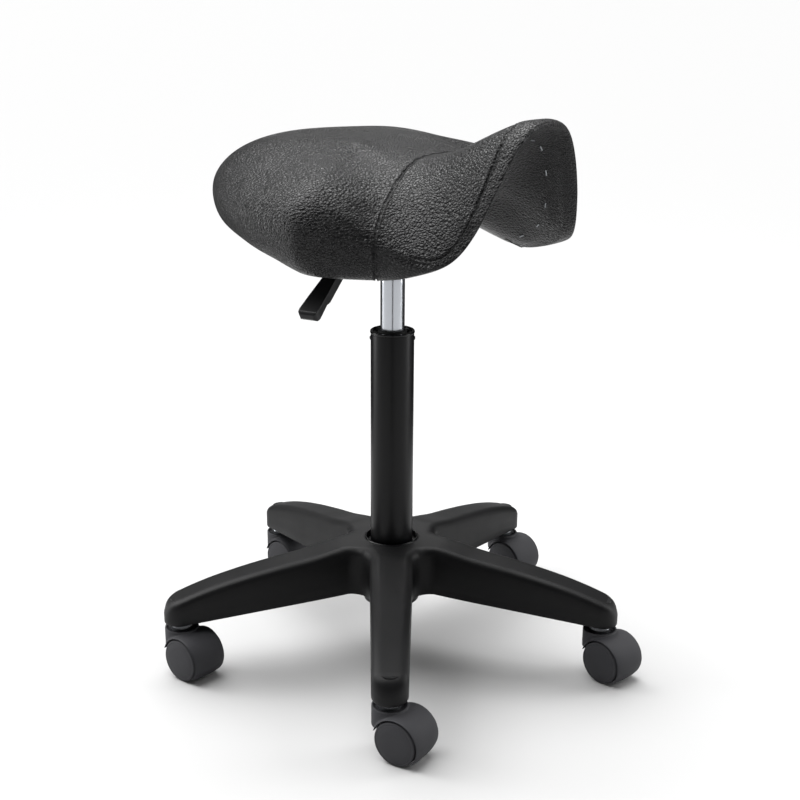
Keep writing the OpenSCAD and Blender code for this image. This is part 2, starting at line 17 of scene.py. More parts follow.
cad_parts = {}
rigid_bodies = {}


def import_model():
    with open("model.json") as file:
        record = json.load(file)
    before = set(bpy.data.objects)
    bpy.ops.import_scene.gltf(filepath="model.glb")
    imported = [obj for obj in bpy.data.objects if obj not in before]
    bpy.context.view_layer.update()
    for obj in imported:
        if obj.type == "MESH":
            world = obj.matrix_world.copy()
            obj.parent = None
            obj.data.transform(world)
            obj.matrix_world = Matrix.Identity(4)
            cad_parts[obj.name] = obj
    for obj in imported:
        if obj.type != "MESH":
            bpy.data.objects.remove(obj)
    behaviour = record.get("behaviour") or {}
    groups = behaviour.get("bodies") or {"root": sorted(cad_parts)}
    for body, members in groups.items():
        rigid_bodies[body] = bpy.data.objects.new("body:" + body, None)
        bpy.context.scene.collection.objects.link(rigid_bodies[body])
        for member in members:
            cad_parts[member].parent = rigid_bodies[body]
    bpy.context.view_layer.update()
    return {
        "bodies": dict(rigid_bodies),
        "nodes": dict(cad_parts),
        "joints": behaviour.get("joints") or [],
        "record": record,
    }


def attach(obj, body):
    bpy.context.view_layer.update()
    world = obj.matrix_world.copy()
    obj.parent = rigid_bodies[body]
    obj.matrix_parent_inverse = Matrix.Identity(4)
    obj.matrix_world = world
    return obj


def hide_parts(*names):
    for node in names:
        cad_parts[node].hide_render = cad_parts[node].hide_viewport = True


LOG = logging.getLogger("stool")
MM = 0.001
BASE_TURN = math.radians(-138.0)
SPREAD = math.radians(72.0)
HUB_TOP = 136.0
TUBE_TOP = 391.0
CYLINDER_TOP = 484.0
STEM_CIRCLE = 255.2

Array = np.ndarray
Profile = Sequence[tuple[float, float]]
Faces = list[tuple[int, ...]]
Form = tuple[Array, Faces]


class Side(Enum):
    """Which side of a caster's web a wheel is on."""

    LEFT = 1
    RIGHT = -1


class Seam(Enum):
    """The sewn lines of the seat cover."""

    CROSS = "cross"
    RIM = "rim"


# ---------------------------------------------------------------- small tools


def linear(code: str) -> tuple[float, float, float, float]:
    """Turn an sRGB hex colour to linear light.

    Args:
        code: Six hex digits.

    Returns:
        Red, green, blue and alpha in linear light.
    """
    parts = [int(code[i : i + 2], 16) / 255 for i in (0, 2, 4)]
    lin = [c / 12.92 if c <= 0.04045 else ((c + 0.055) / 1.055) ** 2.4 for c in parts]
    return (lin[0], lin[1], lin[2], 1.0)


def add_node(tree: Any, kind: str, values: dict | None = None, links: dict | None = None,
             **settings: Any) -> Any:
    """Add a node with its settings, socket values and links.

    Args:
        tree: The node tree that gets the node.
        kind: Blender's name of the node type.
        values: Input socket (name or number) to its value.
        links: Input socket (name or number) to the output socket it takes.
        settings: The node's own properties.

    Returns:
        The new node.
    """
    node = tree.nodes.new(kind)
    for key, value in settings.items():
        setattr(node, key, value)
    for key, value in (values or {}).items():
        node.inputs[key].default_value = value
    for key, source in (links or {}).items():
        tree.links.new(source, node.inputs[key])
    return node


def vectors(mesh: Any, what: str = "co") -> Array:
    """Read the points or the normals of a mesh's vertices as rows of three."""
    out = np.empty(len(mesh.vertices) * 3)
    mesh.vertices.foreach_get(what, out)
    return out.reshape(-1, 3)


def lattice(rows: int, cols: int) -> Faces:
    """Quads between rows of points that each close into a ring.

    Args:
        rows: Number of rows.
        cols: Points in a row.

    Returns:
        Point numbers of each face.
    """
    return [(j * cols + i, j * cols + (i + 1) % cols, (j + 1) * cols + (i + 1) % cols,
             (j + 1) * cols + i) for j in range(rows - 1) for i in range(cols)]


def lathe(profile: Profile, segments: int, centre: float = 0.0) -> Form:
    """Turn a profile about a line parallel to the Z axis.

    Args:
        profile: Points (radius, height) in millimetres.
        segments: Steps round the line.
        centre: Distance of the line from the Z axis along +X.

    Returns:
        Points and faces.
    """
    angles = np.linspace(0, 2 * math.pi, segments, endpoint=False)
    verts = [[centre + r * math.cos(a), r * math.sin(a), z] for r, z in profile for a in angles]
    return np.array(verts), lattice(len(profile), segments)


def make_object(name: str, verts: Array | Sequence, faces: Iterable[Sequence[int]],
                smooth: bool = True, merge: float = 1e-5) -> Any:
    """Make a mesh object from points in millimetres, with doubles merged and faces outward.

    Args:
        name: Name of the piece.
        verts: Points in millimetres.
        faces: Point numbers of each face.
        smooth: Whether the faces are shaded smooth.
        merge: Distance in metres under which points become one.

    Returns:
        The object, linked to the scene.
    """
    mesh = bpy.data.meshes.new(name)
    points = np.asarray(verts, float) * MM
    mesh.from_pydata([tuple(p) for p in points], [], [tuple(f) for f in faces])
    bm = bmesh.new()
    bm.from_mesh(mesh)
    bmesh.ops.remove_doubles(bm, verts=bm.verts, dist=merge)
    bmesh.ops.dissolve_degenerate(bm, edges=bm.edges, dist=merge)
    bmesh.ops.recalc_face_normals(bm, faces=bm.faces)
    for face in bm.faces:
        face.smooth = smooth
    bm.to_mesh(mesh)
    bm.free()
    obj = bpy.data.objects.new(name, mesh)
    bpy.context.scene.collection.objects.link(obj)
    return obj


def baked(obj: Any, name: str) -> Any:
    """Turn an object with its modifiers into a plain mesh object, and remove the first.

    Args:
        obj: The object with live modifiers.
        name: Name of the finished piece.

    Returns:
        The finished object at the origin.
    """
    graph = bpy.context.evaluated_depsgraph_get()
    graph.update()
    mesh = bpy.data.meshes.new_from_object(obj.evaluated_get(graph))
    mesh.name = name
    bpy.data.objects.remove(obj)
    done = bpy.data.objects.new(name, mesh)
    bpy.context.scene.collection.objects.link(done)
    return done


def sharpen(obj: Any, degrees: float = 32.0) -> Any:
    """Shade an object smooth except over edges sharper than an angle."""
    mesh = obj.data
    mesh.shade_smooth()
    mesh.set_sharp_from_angle(angle=math.radians(degrees))
    return obj


def rounded(profile: Profile, radius: float = 0.5, steps: int = 3) -> list[tuple[float, float]]:
    """Round the corners of a radius and height profile.

    Args:
        profile: Points (radius, height) in millimetres.
        radius: Largest corner radius.
        steps: Segments in each corner.

    Returns:
        The profile with its corners as short curves.
    """
    out = [tuple(profile[0])]
    for i in range(1, len(profile) - 1):
        a, b, c = (np.array(profile[j], float) for j in (i - 1, i, i + 1))
        la, lc = np.linalg.norm(a - b), np.linalg.norm(c - b)
        cut = min(radius, 0.42 * la, 0.42 * lc)
        p, q = b + (a - b) / la * cut, b + (c - b) / lc * cut
        for s in range(steps + 1):
            t = s / steps
            out.append(tuple((1 - t) ** 2 * p + 2 * t * (1 - t) * b + t * t * q))
    out.append(tuple(profile[-1]))
    return out


def revolve(name: str, profile: Profile, segments: int = 96, turn: Matrix | None = None,
            closed: bool = False) -> Any:
    """Turn a profile about the Z axis.

    Args:
        name: Name of the piece.
        profile: Points (radius, height) in millimetres.
        segments: Steps round the axis.
        turn: Placement in millimetres, if not at the origin.
        closed: Whether the last point joins the first, as on a ring.

    Returns:
        The object.
    """
    verts, faces = lathe([*profile, profile[0]] if closed else profile, segments)
    if turn is not None:
        m = np.array(turn)
        verts = verts @ m[:3, :3].T + m[:3, 3]
    return sharpen(make_object(name, verts, faces))


def moulded_copy(name: str, node: str, voxel: float, passes: int,
                 reshape: Callable[[Array], Array] | None = None) -> Any:
    """Copy a CAD node as one continuous skin with softly moulded edges.

    Args:
        name: Name of the piece.
        node: CAD node whose shape it takes.
        voxel: Size of the skin's cells in millimetres.
        passes: Smoothing passes.
        reshape: Change of the points, in millimetres, before smoothing.

    Returns:
        The finished object.
    """
    obj = bpy.data.objects.new(name + "_raw", bpy.data.objects[node_object(node)].data.copy())
    bpy.context.scene.collection.objects.link(obj)
    bm = bmesh.new()
    bm.from_mesh(obj.data)
    bmesh.ops.remove_doubles(bm, verts=bm.verts, dist=1e-5)
    bm.to_mesh(obj.data)
    bm.free()
    remesh = obj.modifiers.new("skin", "REMESH")
    remesh.mode, remesh.voxel_size = "VOXEL", voxel * MM
    done = baked(obj, name)
    if reshape is not None:
        moved = reshape(vectors(done.data) / MM) * MM
        done.data.vertices.foreach_set("co", moved.ravel())
    smooth = done.modifiers.new("soften", "SMOOTH")
    smooth.factor, smooth.iterations = 0.5, passes
    done = baked(done, name)
    done.data.shade_smooth()
    done.data.materials.clear()
    return done


def geometry_tree(name: str, sizes: dict[str, float]) -> tuple[Any, dict[str, float]]:
    """Start a geometry tree with named sizes.

    Args:
        name: Name of the tree.
        sizes: Each named input's value.

    Returns:
        The tree and its input values by socket identifier.
    """
    tree = bpy.data.node_groups.new(name, "GeometryNodeTree")
    tree.interface.new_socket(name="Geometry", in_out="INPUT", socket_type="NodeSocketGeometry")
    values = {}
    for label, value in sizes.items():
        made = tree.interface.new_socket(name=label, in_out="INPUT", socket_type="NodeSocketFloat")
        made.default_value = value
        values[made.identifier] = value
    tree.interface.new_socket(name="Geometry", in_out="OUTPUT", socket_type="NodeSocketGeometry")
    return tree, values


def run_tree(obj: Any, tree: Any, values: dict[str, float], name: str) -> Any:
    """Run a geometry tree on an object and keep the result as a plain mesh.

    Args:
        obj: The object that feeds the tree.
        tree: The geometry tree.
        values: Input values by socket identifier.
        name: Name of the finished piece.

    Returns:
        The finished object.
    """
    modifier = obj.modifiers.new("tree", "NODES")
    modifier.node_group = tree
    for key, value in values.items():
        modifier[key] = value
    return baked(obj, name)


FRAME: dict[str, Any] = {}


def node_object(node: str) -> str:
    """Name of the Blender object of a CAD node."""
    return FRAME["nodes"][node].name


def dress(obj: Any, material: Any) -> Any:
    """Give a piece one material in every slot."""
    obj.data.materials.clear()
    obj.data.materials.append(material)
    return obj


def place(obj: Any, body: str, slot: str, *nodes: str) -> Any:
    """Tie a finished piece to its body and hide the CAD nodes it stands for."""
    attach(obj, body)
    if nodes:
        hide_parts(*nodes)
    LOG.info("%s: %d faces on %s", obj.name, len(obj.data.polygons), body)
    return obj


# ---------------------------------------------------------------- finishes


@dataclass(frozen=True)
class Finish:
    """One surface finish, made as a node material on first use."""

    name: str
    colour: str
    roughness: float
    metallic: float = 0.0
    ior: float = 1.5
    specular: float = 0.36

    def start(self) -> tuple[Any, Any, Any, Any]:
        """Make the material with its shader.

        Returns:
            The material, its tree, its shader and the Object coordinates.
        """
        material = bpy.data.materials.new(self.name)
        material.use_nodes = True
        tree = material.node_tree
        shader = tree.nodes["Principled BSDF"]
        shader.inputs["Base Color"].default_value = linear(self.colour)
        shader.inputs["Roughness"].default_value = self.roughness
        shader.inputs["Metallic"].default_value = self.metallic
        if self.metallic == 0.0:
            shader.inputs["IOR"].default_value = self.ior
            shader.inputs["Specular IOR Level"].default_value = self.specular
        where = add_node(tree, "ShaderNodeTexCoord").outputs["Object"]
        return material, tree, shader, where

    def material(self) -> Any:
        """The finish's material, made once."""
        return bpy.data.materials.get(self.name) or self.build()

    def build(self) -> Any:
        """Make the finish's nodes."""
        return self.start()[0]


def ramp(tree: Any, source: Any, low: float, high: float) -> Any:
    """Spread a 0 to 1 pattern between two values.

    Args:
        tree: Node tree.
        source: Socket with the pattern.
        low: Value at 0.
        high: Value at 1.

    Returns:
        The socket with the new value.
    """
    return add_node(tree, "ShaderNodeMapRange", {"To Min": low, "To Max": high},
                    {"Value": source}).outputs["Result"]


def noise(tree: Any, where: Any, size: float, detail: float, **more: float) -> Any:
    """Noise with features of a size in millimetres.

    Args:
        tree: Node tree.
        where: Socket with the coordinates.
        size: Feature size in millimetres.
        detail: Octaves.
        more: Further input values by socket name.

    Returns:
        The noise node.
    """
    values = {"Scale": 1 / (size * MM), "Detail": detail, **more}
    return add_node(tree, "ShaderNodeTexNoise", values, {"Vector": where})


def emboss(tree: Any, height: Any, strength: float, depth: float, normal: Any = None) -> Any:
    """Relief of a height pattern.

    Args:
        tree: Node tree.
        height: Socket with the pattern.
        strength: Share of the relief that shows.
        depth: Depth of the relief in millimetres.
        normal: Socket with the normal to start from, if not the surface's own.

    Returns:
        The socket with the new normal.
    """
    links = {"Height": height} if normal is None else {"Height": height, "Normal": normal}
    return add_node(tree, "ShaderNodeBump", {"Strength": strength, "Distance": depth * MM},
                    links).outputs["Normal"]


@dataclass(frozen=True)
class MouldedPlastic(Finish):
    """Injection-moulded plastic: spark-eroded matte grain that breaks up the highlights."""

    grain: float = 0.9
    depth: float = 0.05
    mottle: float = 0.08
    worn: str = "101012"

    def build(self) -> Any:
        """Make the grain, a slow change of gloss and slightly rubbed colour.

        Returns:
            The material.
        """
        material, tree, shader, where = self.start()
        fine = noise(tree, where, self.grain, 3.0, Roughness=0.6)
        slow = noise(tree, where, 38, 4.0)
        gloss = ramp(tree, slow.outputs["Fac"], self.roughness - self.mottle,
                     self.roughness + self.mottle)
        tree.links.new(gloss, shader.inputs["Roughness"])
        tint = add_node(tree, "ShaderNodeMix", {6: linear(self.colour), 7: linear(self.worn)},
                        {0: ramp(tree, slow.outputs["Fac"], 0.0, 0.55)}, data_type="RGBA")
        tree.links.new(tint.outputs[2], shader.inputs["Base Color"])
        tree.links.new(emboss(tree, fine.outputs["Fac"], 0.6, self.depth), shader.inputs["Normal"])
        return material


@dataclass(frozen=True)
class PaintedSteel(Finish):
    """Powder-coated steel tube: satin black with a faint orange-peel ripple."""

    def build(self) -> Any:
        """Make the ripple under a thin clear layer.

        Returns:
            The material.
        """
        material, tree, shader, where = self.start()
        shader.inputs["Coat Weight"].default_value = 0.06
        shader.inputs["Coat Roughness"].default_value = 0.3
        peel = noise(tree, where, 2.2, 2.0)
        speck = noise(tree, where, 0.7, 1.0)
        tree.links.new(ramp(tree, speck.outputs["Fac"], self.roughness - 0.05,
                            self.roughness + 0.07), shader.inputs["Roughness"])
        tree.links.new(emboss(tree, peel.outputs["Fac"], 0.35, 0.04), shader.inputs["Normal"])
        return material


@dataclass(frozen=True)
class GroundChrome(Finish):
    """Chromed, centreless-ground steel: fine rings round the rod that stretch highlights upward."""

    pitch: float = 0.6
    spread: float = 0.05

    def build(self) -> Any:
        """Make rings across the rod's axis, in gloss and in relief.

        Returns:
            The material.
        """
        material, tree, shader, where = self.start()
        flat = add_node(tree, "ShaderNodeMapping", {"Scale": (12.0, 12.0, 1 / (self.pitch * MM))},
                        {"Vector": where})
        rings = add_node(tree, "ShaderNodeTexNoise", {"Scale": 1.0, "Detail": 4.0},
                         {"Vector": flat.outputs["Vector"]})
        tree.links.new(ramp(tree, rings.outputs["Fac"], self.roughness - self.spread,
                            self.roughness + self.spread), shader.inputs["Roughness"])
        tree.links.new(emboss(tree, rings.outputs["Fac"], 0.25, 0.01), shader.inputs["Normal"])
        return material


@dataclass(frozen=True)
class ZincPlate(Finish):
    """Bright zinc on pressed steel: cloudy patches."""

    def build(self) -> Any:
        """Make the clouding.

        Returns:
            The material.
        """
        material, tree, shader, where = self.start()
        cloud = noise(tree, where, 5, 5.0)
        tree.links.new(ramp(tree, cloud.outputs["Fac"], self.roughness - 0.12,
                            self.roughness + 0.15), shader.inputs["Roughness"])
        tone = add_node(tree, "ShaderNodeMix", {6: linear(self.colour), 7: linear("8d9094")},
                        {0: cloud.outputs["Fac"]}, data_type="RGBA")
        tree.links.new(tone.outputs[2], shader.inputs["Base Color"])
        tree.links.new(emboss(tree, cloud.outputs["Fac"], 0.2, 0.02), shader.inputs["Normal"])
        return material


@dataclass(frozen=True)
class GrainedVinyl(Finish):
    """Embossed leathercloth: lychee pebbles about 3 mm wide, dull in the creases between, with painted
    shade darkening the colour in the creases.

    Drawn a little coarser than the real emboss so that the pebbles still read at full view.
    """

    pebble: float = 3.0
    depth: float = 0.75
    # Colour painted into the creases between pebbles as shade.
    painted_crease_shade: str = "060607"

    def build(self) -> Any:
        """Make pebbles, fine pores, gloss that drops in the creases, painted shade that darkens the
        creases and puckers by the seams.

        Returns:
            The material.
        """
        material, tree, shader, where = self.start()
        shader.inputs["Sheen Weight"].default_value = 0.06
        shader.inputs["Sheen Roughness"].default_value = 0.4
        wander = noise(tree, where, 9, 2.0)
        bent = add_node(tree, "ShaderNodeMix", {0: 0.0045}, {4: where, 5: wander.outputs["Color"]},
                        data_type="VECTOR")
        cells = add_node(tree, "ShaderNodeTexVoronoi", {"Scale": 1 / (self.pebble * MM),
                                                        "Smoothness": 0.55, "Randomness": 0.95},
                         {"Vector": bent.outputs[1]}, feature="SMOOTH_F1")
        edges = add_node(tree, "ShaderNodeTexVoronoi", {"Scale": 1 / (self.pebble * MM),
                                                        "Randomness": 0.95},
                         {"Vector": bent.outputs[1]}, feature="DISTANCE_TO_EDGE")
        pores = noise(tree, where, 0.6, 3.0)
        valley = add_node(tree, "ShaderNodeMapRange", {"From Max": 0.16},
                          {"Value": edges.outputs["Distance"]}, interpolation_type="SMOOTHSTEP")
        dome = add_node(tree, "ShaderNodeMath", {0: 1.0}, {1: cells.outputs["Distance"]},
                        operation="SUBTRACT")
        relief = add_node(tree, "ShaderNodeMath", {},
                          {0: dome.outputs[0], 1: valley.outputs["Result"]}, operation="ADD")
        height = add_node(tree, "ShaderNodeMath", {1: 0.12}, {0: pores.outputs["Fac"],
                                                              2: relief.outputs[0]},
                          operation="MULTIPLY_ADD")
        slow = noise(tree, where, 70, 3.0)
        level = ramp(tree, slow.outputs["Fac"], self.roughness - 0.05, self.roughness + 0.05)
        gloss = add_node(tree, "ShaderNodeMath", {1: -0.1}, {0: valley.outputs["Result"], 2: level},
                         operation="MULTIPLY_ADD")
        tree.links.new(gloss.outputs[0], shader.inputs["Roughness"])
        # Painted shade: the colour darkens from the pebbles' tops into the creases between them.
        tint = add_node(tree, "ShaderNodeMix", {6: linear(self.painted_crease_shade), 7: linear(self.colour)},
                        {0: valley.outputs["Result"]}, data_type="RGBA")
        tree.links.new(tint.outputs[2], shader.inputs["Base Color"])
        grain = emboss(tree, height.outputs[0], 1.0, self.depth)
        pucker = add_node(tree, "ShaderNodeAttribute", attribute_name="pucker")
        sewn = emboss(tree, pucker.outputs["Fac"], 0.7, 0.7, grain)
        tree.links.new(sewn, shader.inputs["Normal"])
        return material


@dataclass(frozen=True)
class TwistedThread(Finish):
    """Bonded polyester thread: two plies whose twist catches small glints."""

    def build(self) -> Any:
        """Make the twist as fine bands.

        Returns:
            The material.
        """
        material, tree, shader, where = self.start()
        bands = add_node(tree, "ShaderNodeTexWave", {"Scale": 1 / (1.1 * MM), "Distortion": 1.5},
                         {"Vector": where}, bands_direction="DIAGONAL")
        tree.links.new(emboss(tree, bands.outputs["Fac"], 0.5, 0.1), shader.inputs["Normal"])
        return material


@dataclass(frozen=True)
class BirchPly(Finish):
    """Birch plywood: pale veneers with fine grain along the sheet."""

    def build(self) -> Any:
        """Make the veneers and grain.

        Returns:
            The material.
        """
        material, tree, shader, where = self.start()
        stretch = add_node(tree, "ShaderNodeMapping", {"Scale": (900.0, 60.0, 900.0)},
                           {"Vector": where})
        grain = add_node(tree, "ShaderNodeTexNoise", {"Scale": 1.0, "Detail": 5.0},
                         {"Vector": stretch.outputs["Vector"]})
        tone = add_node(tree, "ShaderNodeMix", {6: linear(self.colour), 7: linear("9a7748")},
                        {0: grain.outputs["Fac"]}, data_type="RGBA")
        tree.links.new(tone.outputs[2], shader.inputs["Base Color"])
        return material


# Glass-filled nylon, moulded in a matte tool: charcoal black with broad dull highlights.
STAR_NYLON = MouldedPlastic("glass_filled_nylon", "09090a", 0.5, ior=1.53, specular=0.2,
                            grain=1.1, depth=0.07)
# Unfilled nylon of the casters: a touch smoother, so the hood lips read as thin bright lines.
CASTER_NYLON = MouldedPlastic("caster_nylon", "08080a", 0.42, ior=1.53, specular=0.22,
                              grain=0.7, depth=0.035)
# Hard tread and disc of the twin wheels: satin, slightly lighter in slow random patches.
WHEEL_NYLON = MouldedPlastic("wheel_nylon", "0a0a0c", 0.46, ior=1.53, specular=0.22,
                             grain=0.8, depth=0.04)
# Polished polypropylene of the bush and collar: clean glossy edge at the tube's mouth.
BUSH_PLASTIC = MouldedPlastic("polypropylene_bush", "08080a", 0.26, ior=1.49, specular=0.3,
                              grain=1.4, depth=0.01)
# ABS of the release paddle: fine leathery tool grain, satin.
PADDLE_ABS = MouldedPlastic("abs_paddle", "0a0a0c", 0.4, ior=1.54, specular=0.25,
                            grain=0.9, depth=0.05)
# Nitrile rubber wiper and bump stop: deep black, almost no shine.
RUBBER = MouldedPlastic("nitrile_rubber", "0c0c0c", 0.72, ior=1.52, grain=0.5, depth=0.03)
# Powder coat on the tube and the plate: satin black, a touch duller on the plate.
TUBE_PAINT = PaintedSteel("powder_coated_tube", "08080a", 0.34, specular=0.18)
PLATE_PAINT = PaintedSteel("powder_coated_plate", "0a0a0c", 0.45, specular=0.2)
# Ground chrome of the cylinder and bright zinc of fasteners: grey mirror and cloudy grey.
ROD_CHROME = GroundChrome("satin_chrome", "b2b5ba", 0.2, metallic=1.0)
ZINC = ZincPlate("bright_zinc", "b9bcc0", 0.36, metallic=1.0)
# Black leathercloth, its thread, and the pale shell that shows only from below.
VINYL = GrainedVinyl("grained_leathercloth", "0b0b0d", 0.38, ior=1.5, specular=0.34)
THREAD = TwistedThread("black_polyester_thread", "131314", 0.5)
PLY = BirchPly("birch_plywood", "c49a63", 0.55)


# ---------------------------------------------------------------- base


@dataclass
class BaseStar:
    """Five-armed moulded base: one continuous shell with open undersides and inner ribs."""

    wall: float = 3.5
    root_half: float = 24.5
    tip_half: float = 19.75
    fillet: float = 22.0
    edge: float = 11.0
    edge_drop: float = 8.0
    across: int = 12
    crown: Profile = ((0, 136), (55, 136), (62, 135.7), (80, 132.6), (100, 128.2), (140, 122.0),
                      (180, 115.0), (220, 106.0), (250, 96.8), (262, 92.2), (270, 87.6),
                      (274.95, 81.5))
    sole: Profile = ((0, 79.0), (60, 79.0), (100, 75.5), (220, 66.5), (277, 62.0))
    ribs: tuple[float, ...] = (71.0, 113.0, 155.0, 197.0)

    def height(self, x: Array) -> Array:
        """Height of an arm's spine, smoothed between the listed points.

        Args:
            x: Distances from the column.

        Returns:
            Heights in millimetres.
        """
        px, pz = np.array(self.crown, float).T
        slope = np.gradient(pz, px)
        slope[:2] = 0.0
        i = np.clip(np.searchsorted(px, x) - 1, 0, len(px) - 2)
        w = px[i + 1] - px[i]
        t = np.clip((x - px[i]) / w, 0, 1)
        return ((2 * t**3 - 3 * t**2 + 1) * pz[i] + (t**3 - 2 * t**2 + t) * w * slope[i]
                + (3 * t**2 - 2 * t**3) * pz[i + 1] + (t**3 - t**2) * w * slope[i + 1])

    def bottom(self, x: Array) -> Array:
        """Height of an arm's lower edge."""
        return np.interp(x, *np.array(self.sole, float).T)

    def inside(self, x: Array, y: Array) -> Array:
        """Distance of a point from the plan outline, measured inward.

        Args:
            x: Positions along the arm.
            y: Positions across it.

        Returns:
            Distances in millimetres.
        """
        y = np.abs(y)
        centre = self.root_half + self.fillet
        curve = np.hypot(x - 64.0, y - centre) - self.fillet
        half = np.interp(x, [70.0, STEM_CIRCLE], [self.root_half, self.tip_half])
        side = half - y
        tip = self.tip_half - np.hypot(x - STEM_CIRCLE, y)
        return np.maximum(np.where(x < 64.0, curve, np.where(x < STEM_CIRCLE, side, tip)), 0.0)

    def top(self, x: Array, y: Array) -> Array:
        """Height of the arm's skin with its rolled edge."""
        lip = np.clip(1 - self.inside(x, y) / self.edge, 0, 1)
        return self.height(x) - self.edge_drop * (1 - np.sqrt(1 - lip**2))

    def rows(self) -> tuple[list[tuple[Array, Array]], int]:
        """Spine and rim point of every row from the hub ring to the tip.

        Returns:
            Pairs of spine and rim points, and the number of the first row that has a rim.
        """
        half = SPREAD / 2
        centre = self.root_half + self.fillet
        corner = np.array([46.2, centre - math.sqrt(self.fillet**2 - (64.0 - 46.2) ** 2)])
        out = []
        for k in np.linspace(0, 1, 6)[:-1]:
            out.append((np.array([33.0 + (46.2 - 33.0) * k, 0.0]), k * corner
                        + (1 - k) * 33.0 * np.array([math.cos(half), math.sin(half)])))
        first = len(out)
        for x in np.linspace(46.2, 64.0, 12):
            out.append((np.array([x, 0.0]),
                        np.array([x, centre - math.sqrt(self.fillet**2 - (64.0 - x) ** 2)])))
        out[first] = (out[first][0], corner)
        for x in np.concatenate([[70.0], np.linspace(76.0, STEM_CIRCLE, 56)]):
            h = np.interp(x, [70.0, STEM_CIRCLE], [self.root_half, self.tip_half])
            out.append((np.array([x, 0.0]), np.array([x, h])))
        for a in np.radians(np.linspace(84, 0, 15)):
            tip = np.array([STEM_CIRCLE, 0.0])
            out.append((tip, tip + self.tip_half * np.array([math.cos(a), math.sin(a)])))
        return out, first

    def shell(self) -> Form:
        """One arm's share of the base, from the bore to the tip, closed round its section.

        Returns:
            Points and faces.
        """
        w = np.linspace(-1, 1, 2 * self.across + 1)
        rows, first = self.rows()
        sections: list[Array] = []

        def spread(spine: Array, rim: Array, k: Array) -> Array:
            """Points between the spine and both rims at fractions k."""
            flip = np.column_stack([np.ones(len(k)), np.where(k < 0, -1.0, 1.0)])
            return spine + np.abs(k)[:, None] * ((rim - spine) * flip)

        for i, (spine, rim) in enumerate(rows):
            reach = np.linalg.norm(rim - spine)
            flat = spread(spine, rim, w)
            upper = np.column_stack([flat, self.top(flat[:, 0], flat[:, 1])])
            if i < first:
                radial = np.linspace(-SPREAD / 2, SPREAD / 2, len(w))
                arc = np.linalg.norm(spine) * np.column_stack([np.cos(radial), np.sin(radial)])
                mix = i / first
                flat = arc * (1 - mix) + flat * mix
                upper = np.column_stack([flat, self.top(flat[:, 0], flat[:, 1])])
                low = np.column_stack([flat, self.bottom(flat[:, 0])])[::-1]
                sections.append(np.vstack([upper, self.fill(low)]))
                continue
            inset = (reach - self.wall) / reach
            walls = []
            for side in (1.0, -1.0):
                ends = spread(spine, rim, np.array([side, side * (reach - 0.6) / reach,
                                                    side * inset]))
                zb = self.bottom(ends[:1, 0])[0]
                zt = upper[-1 if side > 0 else 0, 2]
                down = [(0, zt * 0.66 + zb * 0.34), (0, zt * 0.33 + zb * 0.67), (0, zb + 1.2),
                        (1, zb + 0.15), (2, zb)]
                walls.append(np.array([[*ends[j], z] for j, z in down]))
            ceil = spread(spine, rim, w[::-1] * inset)
            skin = self.top(*spread(spine, rim, w[::-1]).T)
            under = np.column_stack([ceil, np.minimum(skin, self.height(ceil[:, 0])) - self.wall])
            sections.append(np.vstack([upper, walls[0], under, walls[1][::-1]]))
        verts = np.vstack(sections)
        count = len(sections[0])
        faces = [(i * count + j, i * count + (j + 1) % count, (i + 1) * count + (j + 1) % count,
                  (i + 1) * count + j)
                 for i in range(len(sections) - 1) if i != first - 1
                 for j in (range(count) if i >= first else self.hub_cells(len(w)))]
        faces += self.join(first, count, len(w))
        return verts, faces

    def fill(self, low: Array) -> Array:
        """Pad a hub row to the length of an arm row with its underside points."""
        five = np.repeat(low[:1], 5, axis=0)
        return np.vstack([five, low, np.repeat(low[-1:], 5, axis=0)])

    def hub_cells(self, n: int) -> list[int]:
        """Cells of a hub row: its top and its underside, without the walls."""
        return list(range(n - 1)) + list(range(n + 5, n + 5 + n - 1))

    def join(self, first: int, count: int, n: int) -> Faces:
        """Faces between the last hub row and the first open row, with the cavity's end wall.

        Args:
            first: Number of the first row with walls.
            count: Points in a row.
            n: Points across the top.

        Returns:
            The faces.
        """
        a, b = (first - 1) * count, first * count
        faces = [(a + j, a + j + 1, b + j + 1, b + j) for j in range(n - 1)]
        lip, far = b + n + 4, b + n + 5 + n
        under = [a + n + 5 + j for j in range(n)]
        faces.append(tuple([b + n + 2, b + n + 3, lip, far, far + 1, far + 2] + under[::-1]))
        faces.append(tuple([lip] + [b + n + 5 + j for j in range(n)] + [far]))
        return faces

    def collar(self) -> Form:
        """The hub's bore, ring recess and lower boss as one closed ring.

        Returns:
            Points and faces.
        """
        outline = rounded([(33, 100), (33, 136), (32.7, 136.4), (32, 136.4), (32, 130), (25.6, 130),
                           (25.4, 60), (30, 60), (30, 58), (33, 58), (33, 100)], 0.3, 2)
        return lathe(outline, 120)

    def plate(self, verts: list[list[float]]) -> Form:
        """A closed plate between two like outlines, given one after the other."""
        n = len(verts) // 2
        return np.array(verts), [*lattice(2, n), tuple(range(n))[::-1], tuple(range(n, 2 * n))]

    def rib(self, x: float, thick: float = 2.4) -> Form:
        """A cross rib inside an arm.

        Args:
            x: Distance from the column.
            thick: Its thickness.

        Returns:
            Points and faces of a closed plate.
        """
        h = float(np.interp(x, [70.0, STEM_CIRCLE], [self.root_half, self.tip_half])) - 2.5
        y = np.linspace(-h, h, 11)
        low = float(self.bottom(np.array([x]))[0]) + 2.5
        edge = [(-h, low), *zip(y, self.top(np.full(11, x), y) - 2.2), (h, low)]
        return self.plate([[x + s * thick / 2, p, q] for s in (-1, 1) for p, q in edge])

    def spine_rib(self, thick: float = 2.4) -> Form:
        """The rib along the middle of an arm.

        Args:
            thick: Its thickness.

        Returns:
            Points and faces of a closed plate.
        """
        x = np.linspace(46.0, 240.0, 24)
        up = list(zip(x, self.height(x) - 2.2))
        down = list(zip(x[::-1], self.bottom(x[::-1]) + 2.5))
        return self.plate([[p, s * thick / 2, q] for s in (-1, 1) for p, q in up + down])

